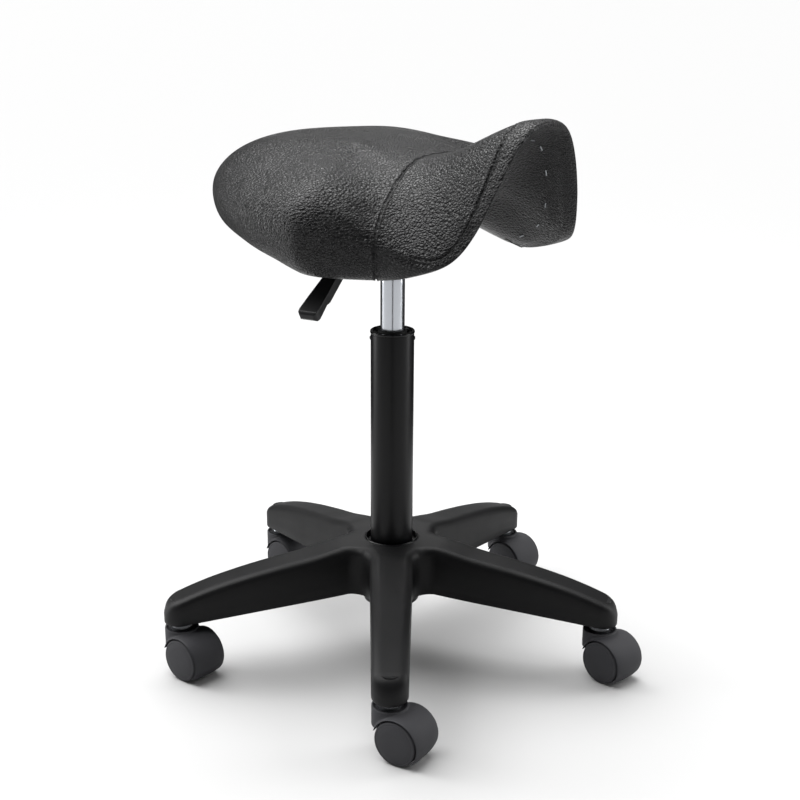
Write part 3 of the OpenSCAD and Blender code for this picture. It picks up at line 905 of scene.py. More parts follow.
    def boss(self) -> Form:
        """The socket that takes a caster's stem.

        Returns:
            Points and faces of a closed ring.
        """
        outline = [(11.5, 62.6), (11.5, 92.0), (5.7, 92.0), (5.7, 62.6), (11.5, 62.6)]
        return lathe(outline, 40, STEM_CIRCLE)

    def build(self) -> Any:
        """Make the whole star.

        Returns:
            The finished piece.
        """
        parts = [self.shell(), self.spine_rib(), self.boss()] + [self.rib(x) for x in self.ribs]
        verts: list[Array] = []
        faces: Faces = []
        for i in range(5):
            turn = np.array(Matrix.Rotation(BASE_TURN + SPREAD * i, 3, "Z"))
            for points, cells in parts:
                start = sum(len(v) for v in verts)
                verts.append(np.asarray(points) @ turn.T)
                faces += [tuple(c + start for c in cell) for cell in cells]
        points, cells = self.collar()
        start = sum(len(v) for v in verts)
        verts.append(points)
        faces += [tuple(c + start for c in cell) for cell in cells]
        star = make_object("base_star_shell", np.vstack(verts), faces)
        sharpen(star, 50)
        dress(star, STAR_NYLON.material())
        return place(star, "base", "nylon", "base_star")


@dataclass
class Caster:
    """One twin-wheel caster: hood, stem, axle and two wheels."""

    number: int
    heading: float
    trail: float = 19.0
    radius: float = 25.0
    width: float = 48.0

    def frame(self) -> Matrix:
        """Placement of the caster's stem foot, in millimetres."""
        arm = Matrix.Rotation(BASE_TURN + SPREAD * (self.number - 1), 4, "Z")
        spin = math.radians(self.heading) - SPREAD * (self.number - 1)
        return arm @ Matrix.Translation((STEM_CIRCLE, 0, 0)) @ Matrix.Rotation(spin, 4, "Z")

    def axle_frame(self) -> Matrix:
        """Placement of the axle's middle with its Z along the axle."""
        lift = Matrix.Translation((self.trail, 0, self.radius))
        return self.frame() @ lift @ Matrix.Rotation(math.radians(90), 4, "X")

    def crowned(self, points: Array) -> Array:
        """Give the hood's outer skin a crown across its width.

        Args:
            points: Points in millimetres in the shared frame.

        Returns:
            The moved points.
        """
        m = np.array(self.axle_frame())
        local = (points - m[:3, 3]) @ m[:3, :3]
        r = np.hypot(local[:, 0], local[:, 1])
        skin = np.clip((r - 27.0) / 1.5, 0, 1) * (r < 30.5)
        pull = 1.9 * skin * np.clip(np.abs(local[:, 2]) / 22.6, 0, 1) ** 3
        local[:, :2] *= (1 - pull / np.maximum(r, 1.0))[:, None]
        return local @ m[:3, :3].T + m[:3, 3]

    def wheel(self, side: Side) -> Any:
        """Make one wheel with its crowned tread, rim step and shallow domed disc.

        Args:
            side: Which side of the web it is on.

        Returns:
            The finished piece.
        """
        r, a, b = self.radius, 6.3, self.width / 2
        web = [(4.05, a), (8, a), (8, b - 5), (r - 5, b - 5), (r - 5, a + 1), (r - 1.5, a + 0.4)]
        tread = [(r - 0.1, a + 1.8), (r, (a + b) / 2), (r - 0.1, b - 3.4), (r - 0.9, b - 1.9)]
        step = [(r - 2.1, b - 1.35), (r - 3.1, b - 1.3), (r - 3.5, b - 1.55), (r - 3.9, b - 1.2)]
        disc = [(16, b - 0.5), (9, b - 0.12), (0, b)]
        outline = rounded([*web, *tread, *step, *disc], 0.5, 2)
        place_at = self.axle_frame() @ Matrix.Diagonal((1, 1, float(side.value), 1))
        closed = [(4.05, b - 4.9), *outline, (0, b - 4.9)]
        letter = "a" if side is Side.LEFT else "b"
        wheel = revolve(f"wheel_{self.number}_{letter}_disc", closed, 72, place_at, closed=True)
        dress(wheel, WHEEL_NYLON.material())
        return place(wheel, f"wheel_{self.number}_{letter}", "wheel_nylon",
                     f"caster_{self.number}_wheel_{letter}")

    def build(self) -> None:
        """Make the hood and wheels; the stem and axle keep their turned shapes."""
        hood = moulded_copy(f"caster_{self.number}_fender", f"caster_{self.number}_hood", 0.9, 7,
                            self.crowned)
        dress(hood, CASTER_NYLON.material())
        place(hood, f"caster_{self.number}", "caster_nylon", f"caster_{self.number}_hood")
        for side in Side:
            self.wheel(side)


# ---------------------------------------------------------------- column


@dataclass
class Column:
    """Support tube, mouth bush, wiper and the gas lift's chromed cylinder."""

    rod_radius: float = 14.0
    segments: int = 128

    def part(self, name: str, outline: Profile, finish: Finish, body: str, slot: str, node: str,
             radius: float = 0.4) -> Any:
        """Turn one ring of the column and dress it.

        Args:
            name: Name of the piece.
            outline: Its closed section.
            finish: Its finish.
            body: Body it rides on.
            slot: Its material slot; not used.
            node: CAD node it stands for.
            radius: Corner radius.

        Returns:
            The finished piece.
        """
        ring = rounded([*outline, outline[0]], radius)[1:]
        piece = revolve(name, ring, self.segments, closed=True)
        return place(dress(piece, finish.material()), body, slot, node)

    def rivets(self) -> Any:
        """Set the two domed rivets that hold the bush, with a points tree.

        Returns:
            The finished piece.
        """
        places = []
        for sign in (-1, 1):
            a = BASE_TURN + sign * math.radians(86)
            places.append([25.35 * math.cos(a), 25.35 * math.sin(a), TUBE_TOP - 9])
        dome = rounded([(0, -3.3), (2.45, -3.3), (2.45, 0.1), (1.6, 0.75), (0, 0.95)], 0.4)
        head = revolve("rivet_head", dome, 24)
        seed = bpy.data.objects.new("rivet_seats", bpy.data.meshes.new("rivet_seats"))
        seed.data.from_pydata([[c * MM for c in p] for p in places], [], [])
        bpy.context.scene.collection.objects.link(seed)
        tree, sockets = geometry_tree("rivets_on_points", {"Size": 1.0})
        given = add_node(tree, "NodeGroupInput")
        spot = add_node(tree, "GeometryNodeInputPosition")
        level = add_node(tree, "ShaderNodeVectorMath", {1: (1.0, 1.0, 0.0)},
                         {0: spot.outputs[0]}, operation="MULTIPLY")
        turn = add_node(tree, "FunctionNodeAlignRotationToVector", {}, {"Vector": level.outputs[0]},
                        axis="Z")
        form = add_node(tree, "GeometryNodeObjectInfo", {"Object": head})
        put = add_node(tree, "GeometryNodeInstanceOnPoints", {}, {
            "Points": given.outputs[0], "Instance": form.outputs["Geometry"],
            "Rotation": turn.outputs[0], "Scale": given.outputs["Size"]})
        real = add_node(tree, "GeometryNodeRealizeInstances", {}, {0: put.outputs[0]})
        paint = add_node(tree, "GeometryNodeSetMaterial", {"Material": BUSH_PLASTIC.material()},
                         {"Geometry": real.outputs[0]})
        add_node(tree, "NodeGroupOutput", {}, {0: paint.outputs[0]})
        rivets = run_tree(seed, tree, sockets, "bush_rivet_heads")
        bpy.data.objects.remove(head)
        return place(sharpen(rivets), "base", "bush_plastic", "bush_rivets")

    def build(self) -> None:
        """Make the visible turned parts of the column."""
        t, r, h, c = TUBE_TOP, self.rod_radius, HUB_TOP, CYLINDER_TOP
        tube = [(4.05, 62), (24.794, 62), (25, h - 2), (25, t - 3), (23.5, t - 3), (23.5, h - 2),
                (22.8, 66), (4.05, 66)]
        trim = [(29.5, h - 6), (31.95, h - 6), (31.95, h + 0.6), (31.2, h + 1.4), (30.2, h + 1.4),
                (29.5, h + 0.7)]
        rim = [(21.5, t - 2.9), (25.3, t - 2.9), (25.7, t - 2.4), (25.7, t - 0.7), (25, t), (23.4, t),
               (21.5, t - 1.6)]
        lips = [(r + 0.05, t - 7.9), (16.9, t - 7.9), (16.9, t - 1), (15, t + 0.8), (r + 0.05, t + 0.2)]
        rod = [(r - 1.5, 146), (r - 0.5, 146), (r, 147), (r, c - 36), (r - 1, c), (r - 3.5, c),
               (r - 3.5, c - 2), (r - 2.4, c - 2), (r - 1.5, c - 36)]
        self.part("support_tube_skin", tube, TUBE_PAINT, "base", "black_steel", "support_tube")
        self.part("hub_ring_trim", trim, BUSH_PLASTIC, "base", "nylon", "hub_ring", 0.5)
        self.part("tube_collar_rim", rim, BUSH_PLASTIC, "base", "bush_plastic", "tube_collar", 0.5)
        self.part("rod_wiper", lips, RUBBER, "base", "rubber", "wiper_ring", 0.5)
        self.part("lift_cylinder", rod, ROD_CHROME, "spindle", "chrome", "pressure_cylinder", 0.3)
        self.rivets()


# ---------------------------------------------------------------- seat


def ease(x: Array) -> Array:
    """Smooth step from 0 to 1."""
    c = np.clip(x, 0, 1)
    return c * c * (3 - 2 * c)


def mix(a: Any, b: Any, k: Any) -> Any:
    """Value between a and b."""
    return a + (b - a) * k


@dataclass
class SaddleForm:
    """Shape of the saddle: u runs from the column to the front, v to the sitter's left."""

    front: float = 211.0
    rear: float = 212.0
    half: float = 200.5
    crown: float = 606.5
    pommel: float = 647.2
    flap: float = 482.0
    seam_at: float = 67.5
    seam_bow: float = 0.0017
    swell_at: tuple[float, ...] = (-110, -65, -20, 25, 70, 115, 160)
    shoulder: tuple[float, ...] = (-3, 4, 10.5, 4.5, -1, -2, -5)
    deeper: tuple[float, ...] = (-1, -8, -9, -3, 9, 8, -5)

    def __post_init__(self) -> None:
        """Tabulate the outline's direction for looking rays up."""
        self.table_t = np.linspace(0, math.pi, 4001)
        u, v = self.rim(self.table_t)
        self.table_a = np.maximum.accumulate(np.arctan2(v, u))

    def rim(self, t: Array) -> tuple[Array, Array]:
        """Outline of the seat in plan.

        Args:
            t: Outline parameter in radians, 0 at the front.

        Returns:
            Its u and v.
        """
        c, s = np.cos(t), np.sin(t)
        n = np.where(c > 0, 3.15, 1.84)
        length = np.where(c > 0, self.front, self.rear)
        r = (np.abs(c / length) ** n + np.abs(s / self.half) ** n) ** (-1 / n)
        v = r * s * (1 - 0.277 * ease((r * c - 42) / 96))
        return r * c - 20 * ease(1.6 * c) * np.minimum(1.25, (v / 130) ** 2), v

    def swells(self, u: Array, sizes: Sequence[float]) -> Array:
        """Sum of gentle swells along the seat's length."""
        return sum(a * np.exp(-(((u - at) / 38) ** 2)) for a, at in zip(sizes, self.swell_at))

    def crest(self, u: Array, v: Array) -> Array:
        """Height of the padded top before its edge rolls over.

        Args:
            u: Positions toward the front.
            v: Positions across.

        Returns:
            Heights.
        """
        g = ease((u + 64.8) / 249.9)
        bell = np.exp(-((np.abs(v) / 88.2) ** 3.13))
        back = self.crown - 3.4 * ((u + 20) ** 2 + v * v) / 36100
        ridge = (self.crown - 16.1 * np.exp(-(((u - 60) / 60) ** 2))
                 + (self.pommel - self.crown) * ease((u - 54.4) / 170.3))
        low = back * (1 - g) + self.flap * g + 4 * ease((np.abs(v) - 80) / 80) * g
        fall = self.swells(u, self.shoulder) * ease((np.abs(v) - 50) / 100)
        return back * (1 - g) + (low + (ridge - low) * bell) * g - fall

    def thin(self, u: Array) -> Array:
        """How thin the padding is, from 0 at the rear to 1 at the flaps."""
        return ease((u / self.front - 0.036) / 0.781)

    def top(self, u: Array, v: Array) -> Array:
        """Points of the padded top.

        Args:
            u: Positions toward the front.
            v: Positions across.

        Returns:
            Points in the shared frame.
        """
        t = np.interp(np.arctan2(np.abs(v), u), self.table_a, self.table_t)
        ou, ov = self.rim(t)
        k = self.thin(ou)
        d = np.maximum(0, np.hypot(ou, ov) - np.hypot(u, v))
        x = np.maximum(0, 1 - d / mix(85.2, 24.1, k))
        z = self.crest(u, v) - mix(54.3, 7.9, k) * (1 - np.sqrt(np.maximum(0, 1 - x * x)))
        return np.stack([v, -u, z], -1)

    def roll(self, t: Array, a: float) -> Array:
        """Points where the edge rolls under.

        Args:
            t: Outline parameters.
            a: Angle of the roll, 0 to a quarter turn.

        Returns:
            Points in the shared frame.
        """
        u, v = self.rim(t)
        k = self.thin(u)
        r = np.hypot(u, v)
        f = (r - mix(36.4, 14, k) * (1 - math.cos(a))) / r
        depth = mix(50.3, 6.8, k) + self.swells(u, self.deeper)
        z = self.crest(u, v) - mix(54.3, 7.9, k) - depth * math.sin(a)
        return np.stack([v * f, -u * f, z], -1)

    def seam_u(self, v: Array) -> Array:
        """Line of the cross seam."""
        return self.seam_at + self.seam_bow * v * v

    def toward(self, x: Array, y: Array, k: float) -> tuple[Array, Array]:
        """Point a share k of the way from the pole to (x, y), bent along the cross seam.

        Args:
            x: Points' x.
            y: Points' y.
            k: Share of the way.

        Returns:
            u and v.
        """
        v = k * x
        return mix(self.seam_at, -y - self.seam_bow * x * x, k) + self.seam_bow * v * v, v

    def seam_k(self, t: Array) -> Array:
        """Share of the way out where the rim seam runs: it nears the edge toward the tips."""
        a = np.degrees(np.minimum(np.abs(t), 2 * math.pi - np.abs(t)))
        return mix(0.83, 0.975, ease((a - 8) / 36) * (1 - ease((a - 57) / 30)))

    def ray(self, t: Array, k: float) -> Array:
        """Points of the top on the row whose nominal share of the way out is k.

        Args:
            t: Outline parameters.
            k: Nominal share; 0.83 is the rim seam.

        Returns:
            Points in the shared frame.
        """
        s = self.seam_k(t)
        way = k * s / 0.83 if k < 0.83 else 1 - (1 - k) * (1 - s) / 0.17
        u, v = self.rim(t)
        return self.top(*self.toward(v, -u, way))

    def under(self, t: Array, k: float) -> Array:
        """Points of the underside at a share k of the way out.

        Args:
            t: Outline parameters.
            k: Share of the way.

        Returns:
            Points in the shared frame.
        """
        e = self.roll(t, math.pi / 2)
        u, v = self.toward(e[:, 0], e[:, 1], k)
        edge = self.crest(-e[:, 1], e[:, 0]) - e[:, 2]
        return np.stack([v, -u, self.crest(u, v) - mix(64.0, edge, k)], -1)

    def seam_t(self) -> float:
        """Outline parameter where the cross seam meets the rim."""
        u, v = self.rim(self.table_t)
        return float(self.table_t[np.argmax(u < self.seam_u(v))])


@dataclass
class Seat:
    """Padded saddle: one cushion with sewn panels, stitches and a cloth pass."""

    form: SaddleForm = field(default_factory=SaddleForm)
    front_cols: int = 78
    rear_cols: int = 96
    rim_seam: float = 0.83
    hem: float = 0.86
    swell: float = 2.6
    groove: float = 1.5
    stitch_gap: float = 2.6
    stitch_pitch: float = 4.2
    # Rows of the cage as shares of the way out, closest together by the rim seam.
    top_k: tuple[float, ...] = (
        0.05, 0.1, 0.15, 0.2, 0.25, 0.3, 0.355, 0.41, 0.46, 0.51, 0.555, 0.6, 0.64, 0.68, 0.715, 0.75,
        0.78, 0.805, 0.82, 0.83, 0.84, 0.855, 0.875, 0.9, 0.925, 0.95, 0.97, 0.985, 0.995)
    under_k: tuple[float, ...] = (
        0.98, 0.94, 0.9, 0.86, 0.82, 0.76, 0.68, 0.58, 0.47, 0.36, 0.25, 0.14, 0.06)

    def columns(self) -> Array:
        """Outline parameters of the grid's columns, closer together by the cross seam."""
        ts = self.form.seam_t()
        near = np.array([0.006, 0.02])

        def span(a: float, b: float, n: int) -> Array:
            """Even steps with a few close ones at both ends."""
            mid = np.linspace(a + 0.045, b - 0.045, n)
            return np.concatenate([[a], a + near, mid, (b - near)[::-1]])

        return np.concatenate([span(-ts, ts, self.front_cols),
                               span(ts, 2 * math.pi - ts, self.rear_cols)])

    def grid(self) -> tuple[Array, list[float]]:
        """Points of the whole cushion, row by row from the pole to the underside.

        Returns:
            Rows of points and the share k of each row (2 on the roll, 3 - k below).
        """
        t = self.columns()
        rows, tags = [], []
        for k in self.top_k:
            rows.append(self.form.ray(t, k))
            tags.append(k)
        for a in np.linspace(0, math.pi / 2, 11):
            rows.append(self.form.roll(t, a))
            tags.append(2.0)
        for k in self.under_k:
            rows.append(self.form.under(t, k))
            tags.append(3.0 - k)
        return np.array(rows), tags

    def raw_cushion(self) -> tuple[Any, list[float]]:
        """Make the cushion's closed cage.

        Returns:
            The object and a hold weight for each point.
        """
        rows, tags = self.grid()
        n_rows, n_cols = rows.shape[:2]
        form = self.form
        u, v = np.array([form.seam_at]), np.array([0.0])
        pole = form.top(u, v)
        base = np.array([[0.0, -form.seam_at, form.crest(u, v)[0] - 64.0]])
        verts = np.vstack([rows.reshape(-1, 3), pole, base])
        faces = lattice(n_rows, n_cols)
        top, low = n_rows * n_cols, n_rows * n_cols + 1
        last = (n_rows - 1) * n_cols
        faces += [(top, (c + 1) % n_cols, c) for c in range(n_cols)]
        faces += [(low, last + c, last + (c + 1) % n_cols) for c in range(n_cols)]
        holds = []
        for r, tag in enumerate(tags):
            for c in range(n_cols):
                seam = c in (0, self.front_cols + 4)
                rim = tag == self.rim_seam and 4 < c < self.front_cols
                held = 1.0 if seam or rim or tag <= 0.25 or tag > 3.0 - 0.94 else 0.0
                holds.append(held)
        holds += [1.0, 1.0]
        raw = make_object("seat_cage", verts, faces, merge=1e-7)
        return raw, holds

    def sew_lines(self) -> dict[Seam, Array]:
        """Dense points along each seam on the plain form.

        Returns:
            Points of each seam.
        """
        form, ts = self.form, self.form.seam_t()
        out = []
        for side in (-1.0, 1.0):
            t = np.array([side * ts])
            run = [form.ray(t, k)[0] for k in np.linspace(0.02, 1.0, 130)]
            run += [form.roll(t, a)[0] for a in np.linspace(0.03, math.pi / 2, 40)]
            run += [form.under(t, k)[0] for k in np.linspace(0.99, self.hem, 12)]
            out.append(run[::-1] if side < 0 else run)
        cross = np.array(out[0] + out[1])
        edge = self.band_ends()
        rim = form.ray(np.linspace(-edge, edge, 400), self.rim_seam)
        return {Seam.CROSS: cross, Seam.RIM: rim}

    def band_ends(self) -> float:
        """Outline parameter where the front band ends at a flap's tip."""
        return self.form.seam_t() * 11 / 13

    def cloth(self, raw: Any, holds: list[float]) -> None:
        """Swell the panels between the held seams with a capped cloth run.

        Args:
            raw: The cage, whose points are moved.
            holds: Hold weight of each point.
        """
        mesh = raw.data
        start = vectors(mesh)
        pins = raw.vertex_groups.new(name="held")
        pins.add([i for i, h in enumerate(holds) if h > 0], 1.0, "REPLACE")
        cloth = raw.modifiers.new("swell", "CLOTH")
        settings = cloth.settings
        settings.quality = 6
        settings.mass = 0.35
        settings.tension_stiffness = settings.compression_stiffness = 18.0
        settings.shear_stiffness = 8.0
        settings.bending_stiffness = 0.6
        settings.shrink_min = 0.004
        settings.use_pressure = True
        settings.uniform_pressure_force = 4.0
        settings.vertex_group_mass = "held"
        settings.effector_weights.gravity = 0.0
        cloth.collision_settings.use_collision = False
        cloth.point_cache.frame_start, cloth.point_cache.frame_end = 1, 20
        scene = bpy.context.scene
        for frame in range(1, 21):
            scene.frame_set(frame)
        graph = bpy.context.evaluated_depsgraph_get()
        move = vectors(raw.evaluated_get(graph).data) - start
        raw.modifiers.remove(cloth)
        scene.frame_set(1)
        size = np.linalg.norm(move, axis=1, keepdims=True)
        cap = self.swell * MM
        move *= cap * np.tanh(size / cap) / np.maximum(size, 1e-9)
        mesh.vertices.foreach_set("co", (start + move).ravel())
        mesh.update()
        LOG.info("cloth: mean move %.2f mm, greatest %.2f mm", size.mean() / MM, size.max() / MM)

    def sewn(self, cushion: Any) -> None:
        """Press the seam grooves into the finished mesh and note where the cover puckers.

        Args:
            cushion: The subdivided cushion.
        """
        mesh = cushion.data
        points, normals = vectors(mesh), vectors(mesh, "normal")
        trees, runs = [], []
        for line in self.sew_lines().values():
            tree = KDTree(len(line))
            for i, p in enumerate(line):
                tree.insert(Vector(p * MM), i)
            tree.balance()
            trees.append(tree)
            steps = np.linalg.norm(np.diff(line, axis=0), axis=1)
            runs.append(np.concatenate([[0], np.cumsum(steps)]))
        drop, pucker = np.zeros(len(points)), np.zeros(len(points))
        for i, p in enumerate(points):
            for tree, run in zip(trees, runs):
                _, j, d = tree.find(Vector(p))
                d /= MM
                if d < 16:
                    ridge = math.exp(-(((d - 2.2) / 1.5) ** 2))
                    drop[i] += self.groove * math.exp(-((d / 1.3) ** 2)) - 0.35 * ridge
                    drop[i] += 0.5 * math.exp(-((d / 6.5) ** 2))
                    wave = math.sin(run[j] * math.pi / self.stitch_pitch)
                    pucker[i] += 0.5 * math.exp(-((d / 5.0) ** 2)) * wave
        points -= normals * (drop * MM)[:, None]
        mesh.vertices.foreach_set("co", points.ravel())
        layer = mesh.attributes.new("pucker", "FLOAT", "POINT")
        layer.data.foreach_set("value", pucker)
        mesh.update()

    def stitch_tree(self) -> tuple[Any, dict[str, float]]:
        """Make the tree that lays stitches along curves.

        Returns:
            The tree and its input values by socket identifier.
        """
        tree, sockets = geometry_tree("stitches_on_curve", {
            "Pitch": self.stitch_pitch * MM, "Length": 3.3 * MM, "Thickness": 0.4 * MM})
        given = add_node(tree, "NodeGroupInput")
        spaced = add_node(tree, "GeometryNodeCurveToPoints", {}, {
            "Curve": given.outputs["Geometry"], "Length": given.outputs["Pitch"]}, mode="LENGTH")
        half = add_node(tree, "ShaderNodeMath", {1: 0.5}, {0: given.outputs["Length"]},
                        operation="MULTIPLY")
        start = add_node(tree, "ShaderNodeMath", {1: -0.5}, {0: given.outputs["Length"]},
                         operation="MULTIPLY")
        dip = add_node(tree, "ShaderNodeMath", {1: -1.0}, {0: given.outputs["Thickness"]},
                       operation="MULTIPLY")
        a = add_node(tree, "ShaderNodeCombineXYZ", {}, {"X": dip.outputs[0], "Z": start.outputs[0]})
        b = add_node(tree, "ShaderNodeCombineXYZ", {}, {"X": given.outputs["Thickness"]})
        c = add_node(tree, "ShaderNodeCombineXYZ", {}, {"X": dip.outputs[0], "Z": half.outputs[0]})
        arch = add_node(tree, "GeometryNodeCurveQuadraticBezier", {"Resolution": 5}, {
            "Start": a.outputs[0], "Middle": b.outputs[0], "End": c.outputs[0]})
        ring = add_node(tree, "GeometryNodeCurvePrimitiveCircle", {"Resolution": 6},
                        {"Radius": given.outputs["Thickness"]})
        strand = add_node(tree, "GeometryNodeCurveToMesh", {"Fill Caps": True}, {
            "Curve": arch.outputs[0], "Profile Curve": ring.outputs[0]})
        put = add_node(tree, "GeometryNodeInstanceOnPoints", {}, {
            "Points": spaced.outputs["Points"], "Instance": strand.outputs[0],
            "Rotation": spaced.outputs["Rotation"]})
        real = add_node(tree, "GeometryNodeRealizeInstances", {}, {0: put.outputs[0]})
        soft = add_node(tree, "GeometryNodeSetShadeSmooth", {}, {0: real.outputs[0]})
        paint = add_node(tree, "GeometryNodeSetMaterial", {"Material": THREAD.material()},
                         {"Geometry": soft.outputs[0]})
        add_node(tree, "NodeGroupOutput", {}, {0: paint.outputs[0]})
        return tree, sockets

    def stitches(self, cushion: Any) -> Any:
        """Lay two rows of stitches beside each seam, resting on the finished cushion.

        Args:
            cushion: The finished cushion.

        Returns:
            The stitches as one piece.
        """
        surface = BVHTree.FromObject(cushion, bpy.context.evaluated_depsgraph_get())
        curve = bpy.data.curves.new("stitch_lines", "CURVE")
        curve.dimensions = "3D"
        for line in self.sew_lines().values():
            steps = np.gradient(line, axis=0)
            for side in (-1, 1):
                row = []
                for p, d in zip(line, steps):
                    _, normal, _, _ = surface.find_nearest(Vector(p * MM))
                    across = normal.cross(Vector(d)).normalized()
                    spot, lift, _, _ = surface.find_nearest(
                        Vector(p * MM) + across * side * self.stitch_gap * MM)
                    row.append(spot + lift * 0.12 * MM)
                spline = curve.splines.new("POLY")
                spline.points.add(len(row) - 1)
                for q, co in zip(spline.points, row):
                    q.co = (*co, 1.0)
        lines = bpy.data.objects.new("stitch_lines", curve)
        bpy.context.scene.collection.objects.link(lines)
        tree, values = self.stitch_tree()
        return run_tree(lines, tree, values, "seat_stitches")

    def build(self) -> None:
        """Make the cushion and its stitching."""
        raw, holds = self.raw_cushion()
        self.cloth(raw, holds)
        raw.vertex_groups.clear()
        finer = raw.modifiers.new("finer", "SUBSURF")
        finer.levels = finer.render_levels = 1
        cushion = baked(raw, "seat_cushion")
        self.sewn(cushion)
        cushion.data.shade_smooth()
        dress(cushion, VINYL.material())
        place(cushion, "seat", "vinyl", "cover_rear", "cover_front", "cover_band", "cover_under",
              "seat_foam")
        thread = self.stitches(cushion)
        place(thread, "seat", "vinyl")


# ---------------------------------------------------------------- mechanism


@dataclass
class Mechanism:
    """Lever paddle and the pressed parts under the seat."""

    bevel: float = 0.5

    def paddle(self) -> Any:
        """Make the moulded paddle with softened edges.

        Returns:
            The finished piece.
        """
        grip = moulded_copy("lever_paddle_grip", "lever_handle", 0.6, 5)
        dress(grip, PADDLE_ABS.material())
        return place(grip, "lever", "lever_plastic", "lever_handle")

    def build(self) -> None:
        """Make the paddle and break the edges of the pressed parts."""
        self.paddle()
        for node in ("mount_plate", "taper_socket", "lever_arm", "mounting_bolts", "lever_pivot"):
            obj = FRAME["nodes"][node]
            bevel = obj.modifiers.new("broken_edge", "BEVEL")
            bevel.width, bevel.segments = self.bevel * MM, 2
            bevel.limit_method, bevel.angle_limit = "ANGLE", math.radians(40)


# ---------------------------------------------------------------- set


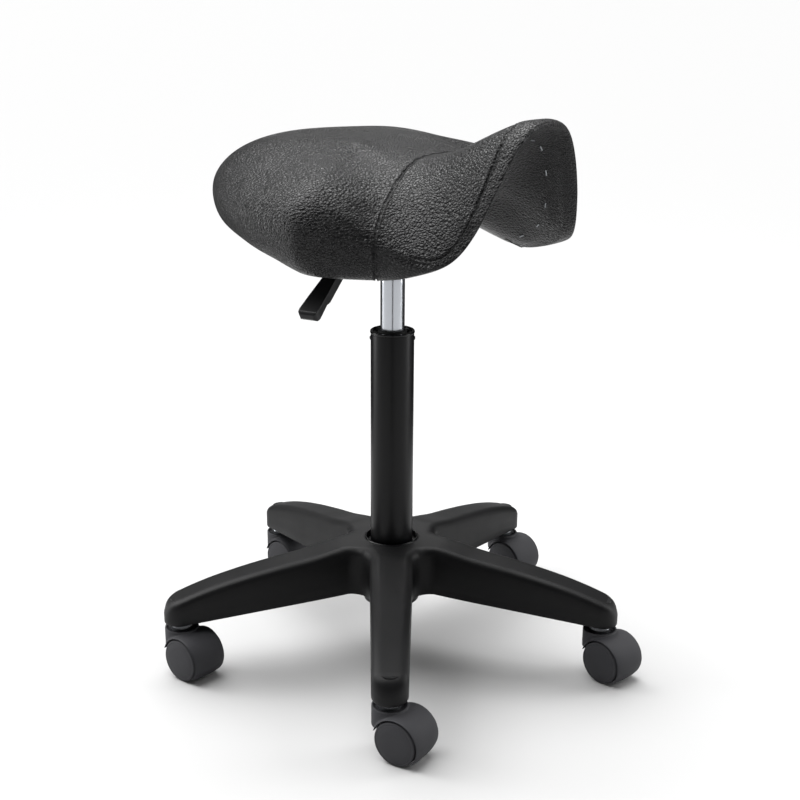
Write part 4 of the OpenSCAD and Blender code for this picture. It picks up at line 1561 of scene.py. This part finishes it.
@dataclass
class Studio:
    """Pale floor, soft boxes and the camera."""

    distance: float = 1.52711
    bearing: float = math.radians(-137.8)
    height: float = 0.78791
    pitch: float = 0.3052
    yaw: float = 0.00596
    roll: float = 0.00645
    lens: float = 62.02
    ambient: float = 0.12
    overhead: float = 6.2

    def axes(self) -> tuple[Vector, Vector, Vector]:
        """Right, up and forward directions of the camera in the shared frame."""
        sy, cy = math.sin(self.yaw), math.cos(self.yaw)
        sp, cp = math.sin(self.pitch), math.cos(self.pitch)
        forward = Vector((sy * cp, cy * cp, -sp))
        right = Vector((cy, -sy, 0.0))
        up = right.cross(forward)
        c, s = math.cos(self.roll), math.sin(self.roll)
        turn = Matrix.Rotation(self.bearing + math.radians(90), 3, "Z")
        return turn @ (right * c + up * s), turn @ (up * c - right * s), turn @ forward

    def camera(self) -> None:
        """Place the camera."""
        right, up, forward = self.axes()
        data = bpy.data.cameras.new("camera")
        data.lens, data.sensor_width = self.lens, 36.0
        camera = bpy.data.objects.new("camera", data)
        place_at = Matrix((right, up, -forward)).transposed().to_4x4()
        place_at.translation = (self.distance * math.cos(self.bearing),
                                self.distance * math.sin(self.bearing), self.height)
        camera.matrix_world = place_at
        bpy.context.scene.collection.objects.link(camera)
        bpy.context.scene.camera = camera

    def softbox(self, name: str, side: float, away: float, up: float, size: tuple[float, float],
                power: float, aim: float = 0.35) -> None:
        """Hang an area light, placed by the camera's own left and right.

        Args:
            name: Name of the light.
            side: Distance to the camera's right of the column.
            away: Distance beyond the column.
            up: Height.
            size: Width and height of the box.
            power: Watts.
            aim: Height that it looks at.
        """
        data = bpy.data.lights.new(name, "AREA")
        data.shape, data.energy = "RECTANGLE", power
        data.size, data.size_y = size
        light = bpy.data.objects.new(name, data)
        turn = Matrix.Rotation(self.bearing + math.radians(90), 3, "Z")
        spot = turn @ Vector((side, away, 0.0)) + Vector((0, 0, up))
        light.location = spot
        light.rotation_euler = (Vector((0, 0, aim)) - spot).to_track_quat("-Z", "Y").to_euler()
        bpy.context.scene.collection.objects.link(light)

    def flag(self, name: str, start: tuple[float, float], end: tuple[float, float],
             tall: float = 1.3) -> None:
        """Stand a matte black card beside the set, seen only in glossy surfaces, where it paints dark
        reflection bands; it casts no shadow and does not darken the diffuse light.

        Args:
            name: Name of the card.
            start: One foot of the card, to the camera's right of the column and beyond it.
            end: The other foot.
            tall: Height of the card.
        """
        turn = Matrix.Rotation(self.bearing + math.radians(90), 3, "Z")
        feet = [turn @ Vector((*foot, 0.0)) / MM for foot in (start, end)]
        lift = Vector((0, 0, tall)) / MM
        corners = [tuple(v) for v in (feet[0], feet[1], feet[1] + lift, feet[0] + lift)]
        card = make_object(name, corners, [(0, 1, 2, 3)], smooth=False)
        material = bpy.data.materials.get("black_card") or bpy.data.materials.new("black_card")
        material.use_nodes = True
        shader = material.node_tree.nodes["Principled BSDF"]
        shader.inputs["Base Color"].default_value = linear("020202")
        shader.inputs["Specular IOR Level"].default_value = 0.0
        dress(card, material)
        # Painted reflection: the card shows only in glossy reflections, as dark bands.
        card.visible_camera = card.visible_diffuse = card.visible_shadow = False

    def build(self) -> None:
        """Make the floor, the lights and the camera."""
        self.camera()
        reach = 90000
        verts = [(-reach, -reach, 0), (reach, -reach, 0), (reach, reach, 0), (-reach, reach, 0)]
        floor = make_object("floor", verts, [(0, 1, 2, 3)], smooth=False)
        material = bpy.data.materials.new("pale_floor")
        material.use_nodes = True
        shader = material.node_tree.nodes["Principled BSDF"]
        shader.inputs["Base Color"].default_value = linear("bdbdbd")
        shader.inputs["Roughness"].default_value = 0.9
        shader.inputs["Specular IOR Level"].default_value = 0.1
        dress(floor, material)
        world = bpy.data.worlds.new("studio")
        world.use_nodes = True
        world.node_tree.nodes["Background"].inputs["Color"].default_value = linear("ffffff")
        world.node_tree.nodes["Background"].inputs["Strength"].default_value = self.ambient
        bpy.context.scene.world = world
        sky = bpy.data.lights.new("ceiling_diffuser", "SUN")
        sky.energy, sky.angle = self.overhead, math.radians(75)
        ceiling = bpy.data.objects.new("ceiling_diffuser", sky)
        turn = Matrix.Rotation(self.bearing + math.radians(90), 3, "Z")
        aim = -(turn @ Vector((-0.25, 0.35, 1.0)))
        ceiling.rotation_euler = aim.to_track_quat("-Z", "Y").to_euler()
        bpy.context.scene.collection.objects.link(ceiling)
        # Black cards that paint dark reflection bands on the glossy parts.
        self.flag("left_flag", (-0.8, 0.35), (-0.25, 0.95))
        self.flag("right_flag", (0.85, 0.1), (0.3, 0.95))
        self.flag("camera_flag", (-0.085, -1.0), (0.085, -1.0))
        self.softbox("left_box", -1.7, 0.35, 0.9, (0.55, 1.7), 16)
        self.softbox("right_box", 1.7, 0.25, 0.9, (0.75, 1.7), 20)
        bpy.context.scene.view_settings.view_transform = "Standard"


CASTER_HEADINGS = (58.0, 43.0, 47.0, 47.0, 50.0)


# Finish of the CAD nodes whose names hold each word; all others are zinc plated.
NODE_FINISH: dict[str, Finish] = {
    "base_star": STAR_NYLON, "hub_ring": BUSH_PLASTIC, "support_tube": TUBE_PAINT,
    "bush": BUSH_PLASTIC, "collar": BUSH_PLASTIC, "wiper": RUBBER, "bump": RUBBER,
    "pressure_cylinder": ROD_CHROME, "piston_rod": ROD_CHROME, "gland": RUBBER,
    "lever_handle": PADDLE_ABS, "spacers": BUSH_PLASTIC, "shell": PLY, "cover": VINYL,
    "foam": RUBBER, "hood": CASTER_NYLON, "wheel": WHEEL_NYLON, "mount_plate": PLATE_PAINT,
    "taper_socket": PLATE_PAINT,
}


def dress_frame() -> None:
    """Give every CAD node the finish of the first NODE_FINISH word in its name, or zinc."""
    for name, obj in FRAME["nodes"].items():
        finish = next((f for key, f in NODE_FINISH.items() if key in name), ZINC)
        for slot in obj.material_slots:
            slot.material = finish.material()
        if not obj.material_slots:
            LOG.warning("%s has no material slot", name)


def main() -> None:
    """Load the frame and build every sub-assembly in order."""
    logging.basicConfig(level=logging.INFO, format="%(name)s: %(message)s")
    FRAME.update(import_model())
    dress_frame()
    BaseStar().build()
    for number, heading in enumerate(CASTER_HEADINGS, 1):
        Caster(number, heading).build()
    Column().build()
    Mechanism().build()
    Seat().build()
    Studio().build()


if __name__ == "__main__":
    main()
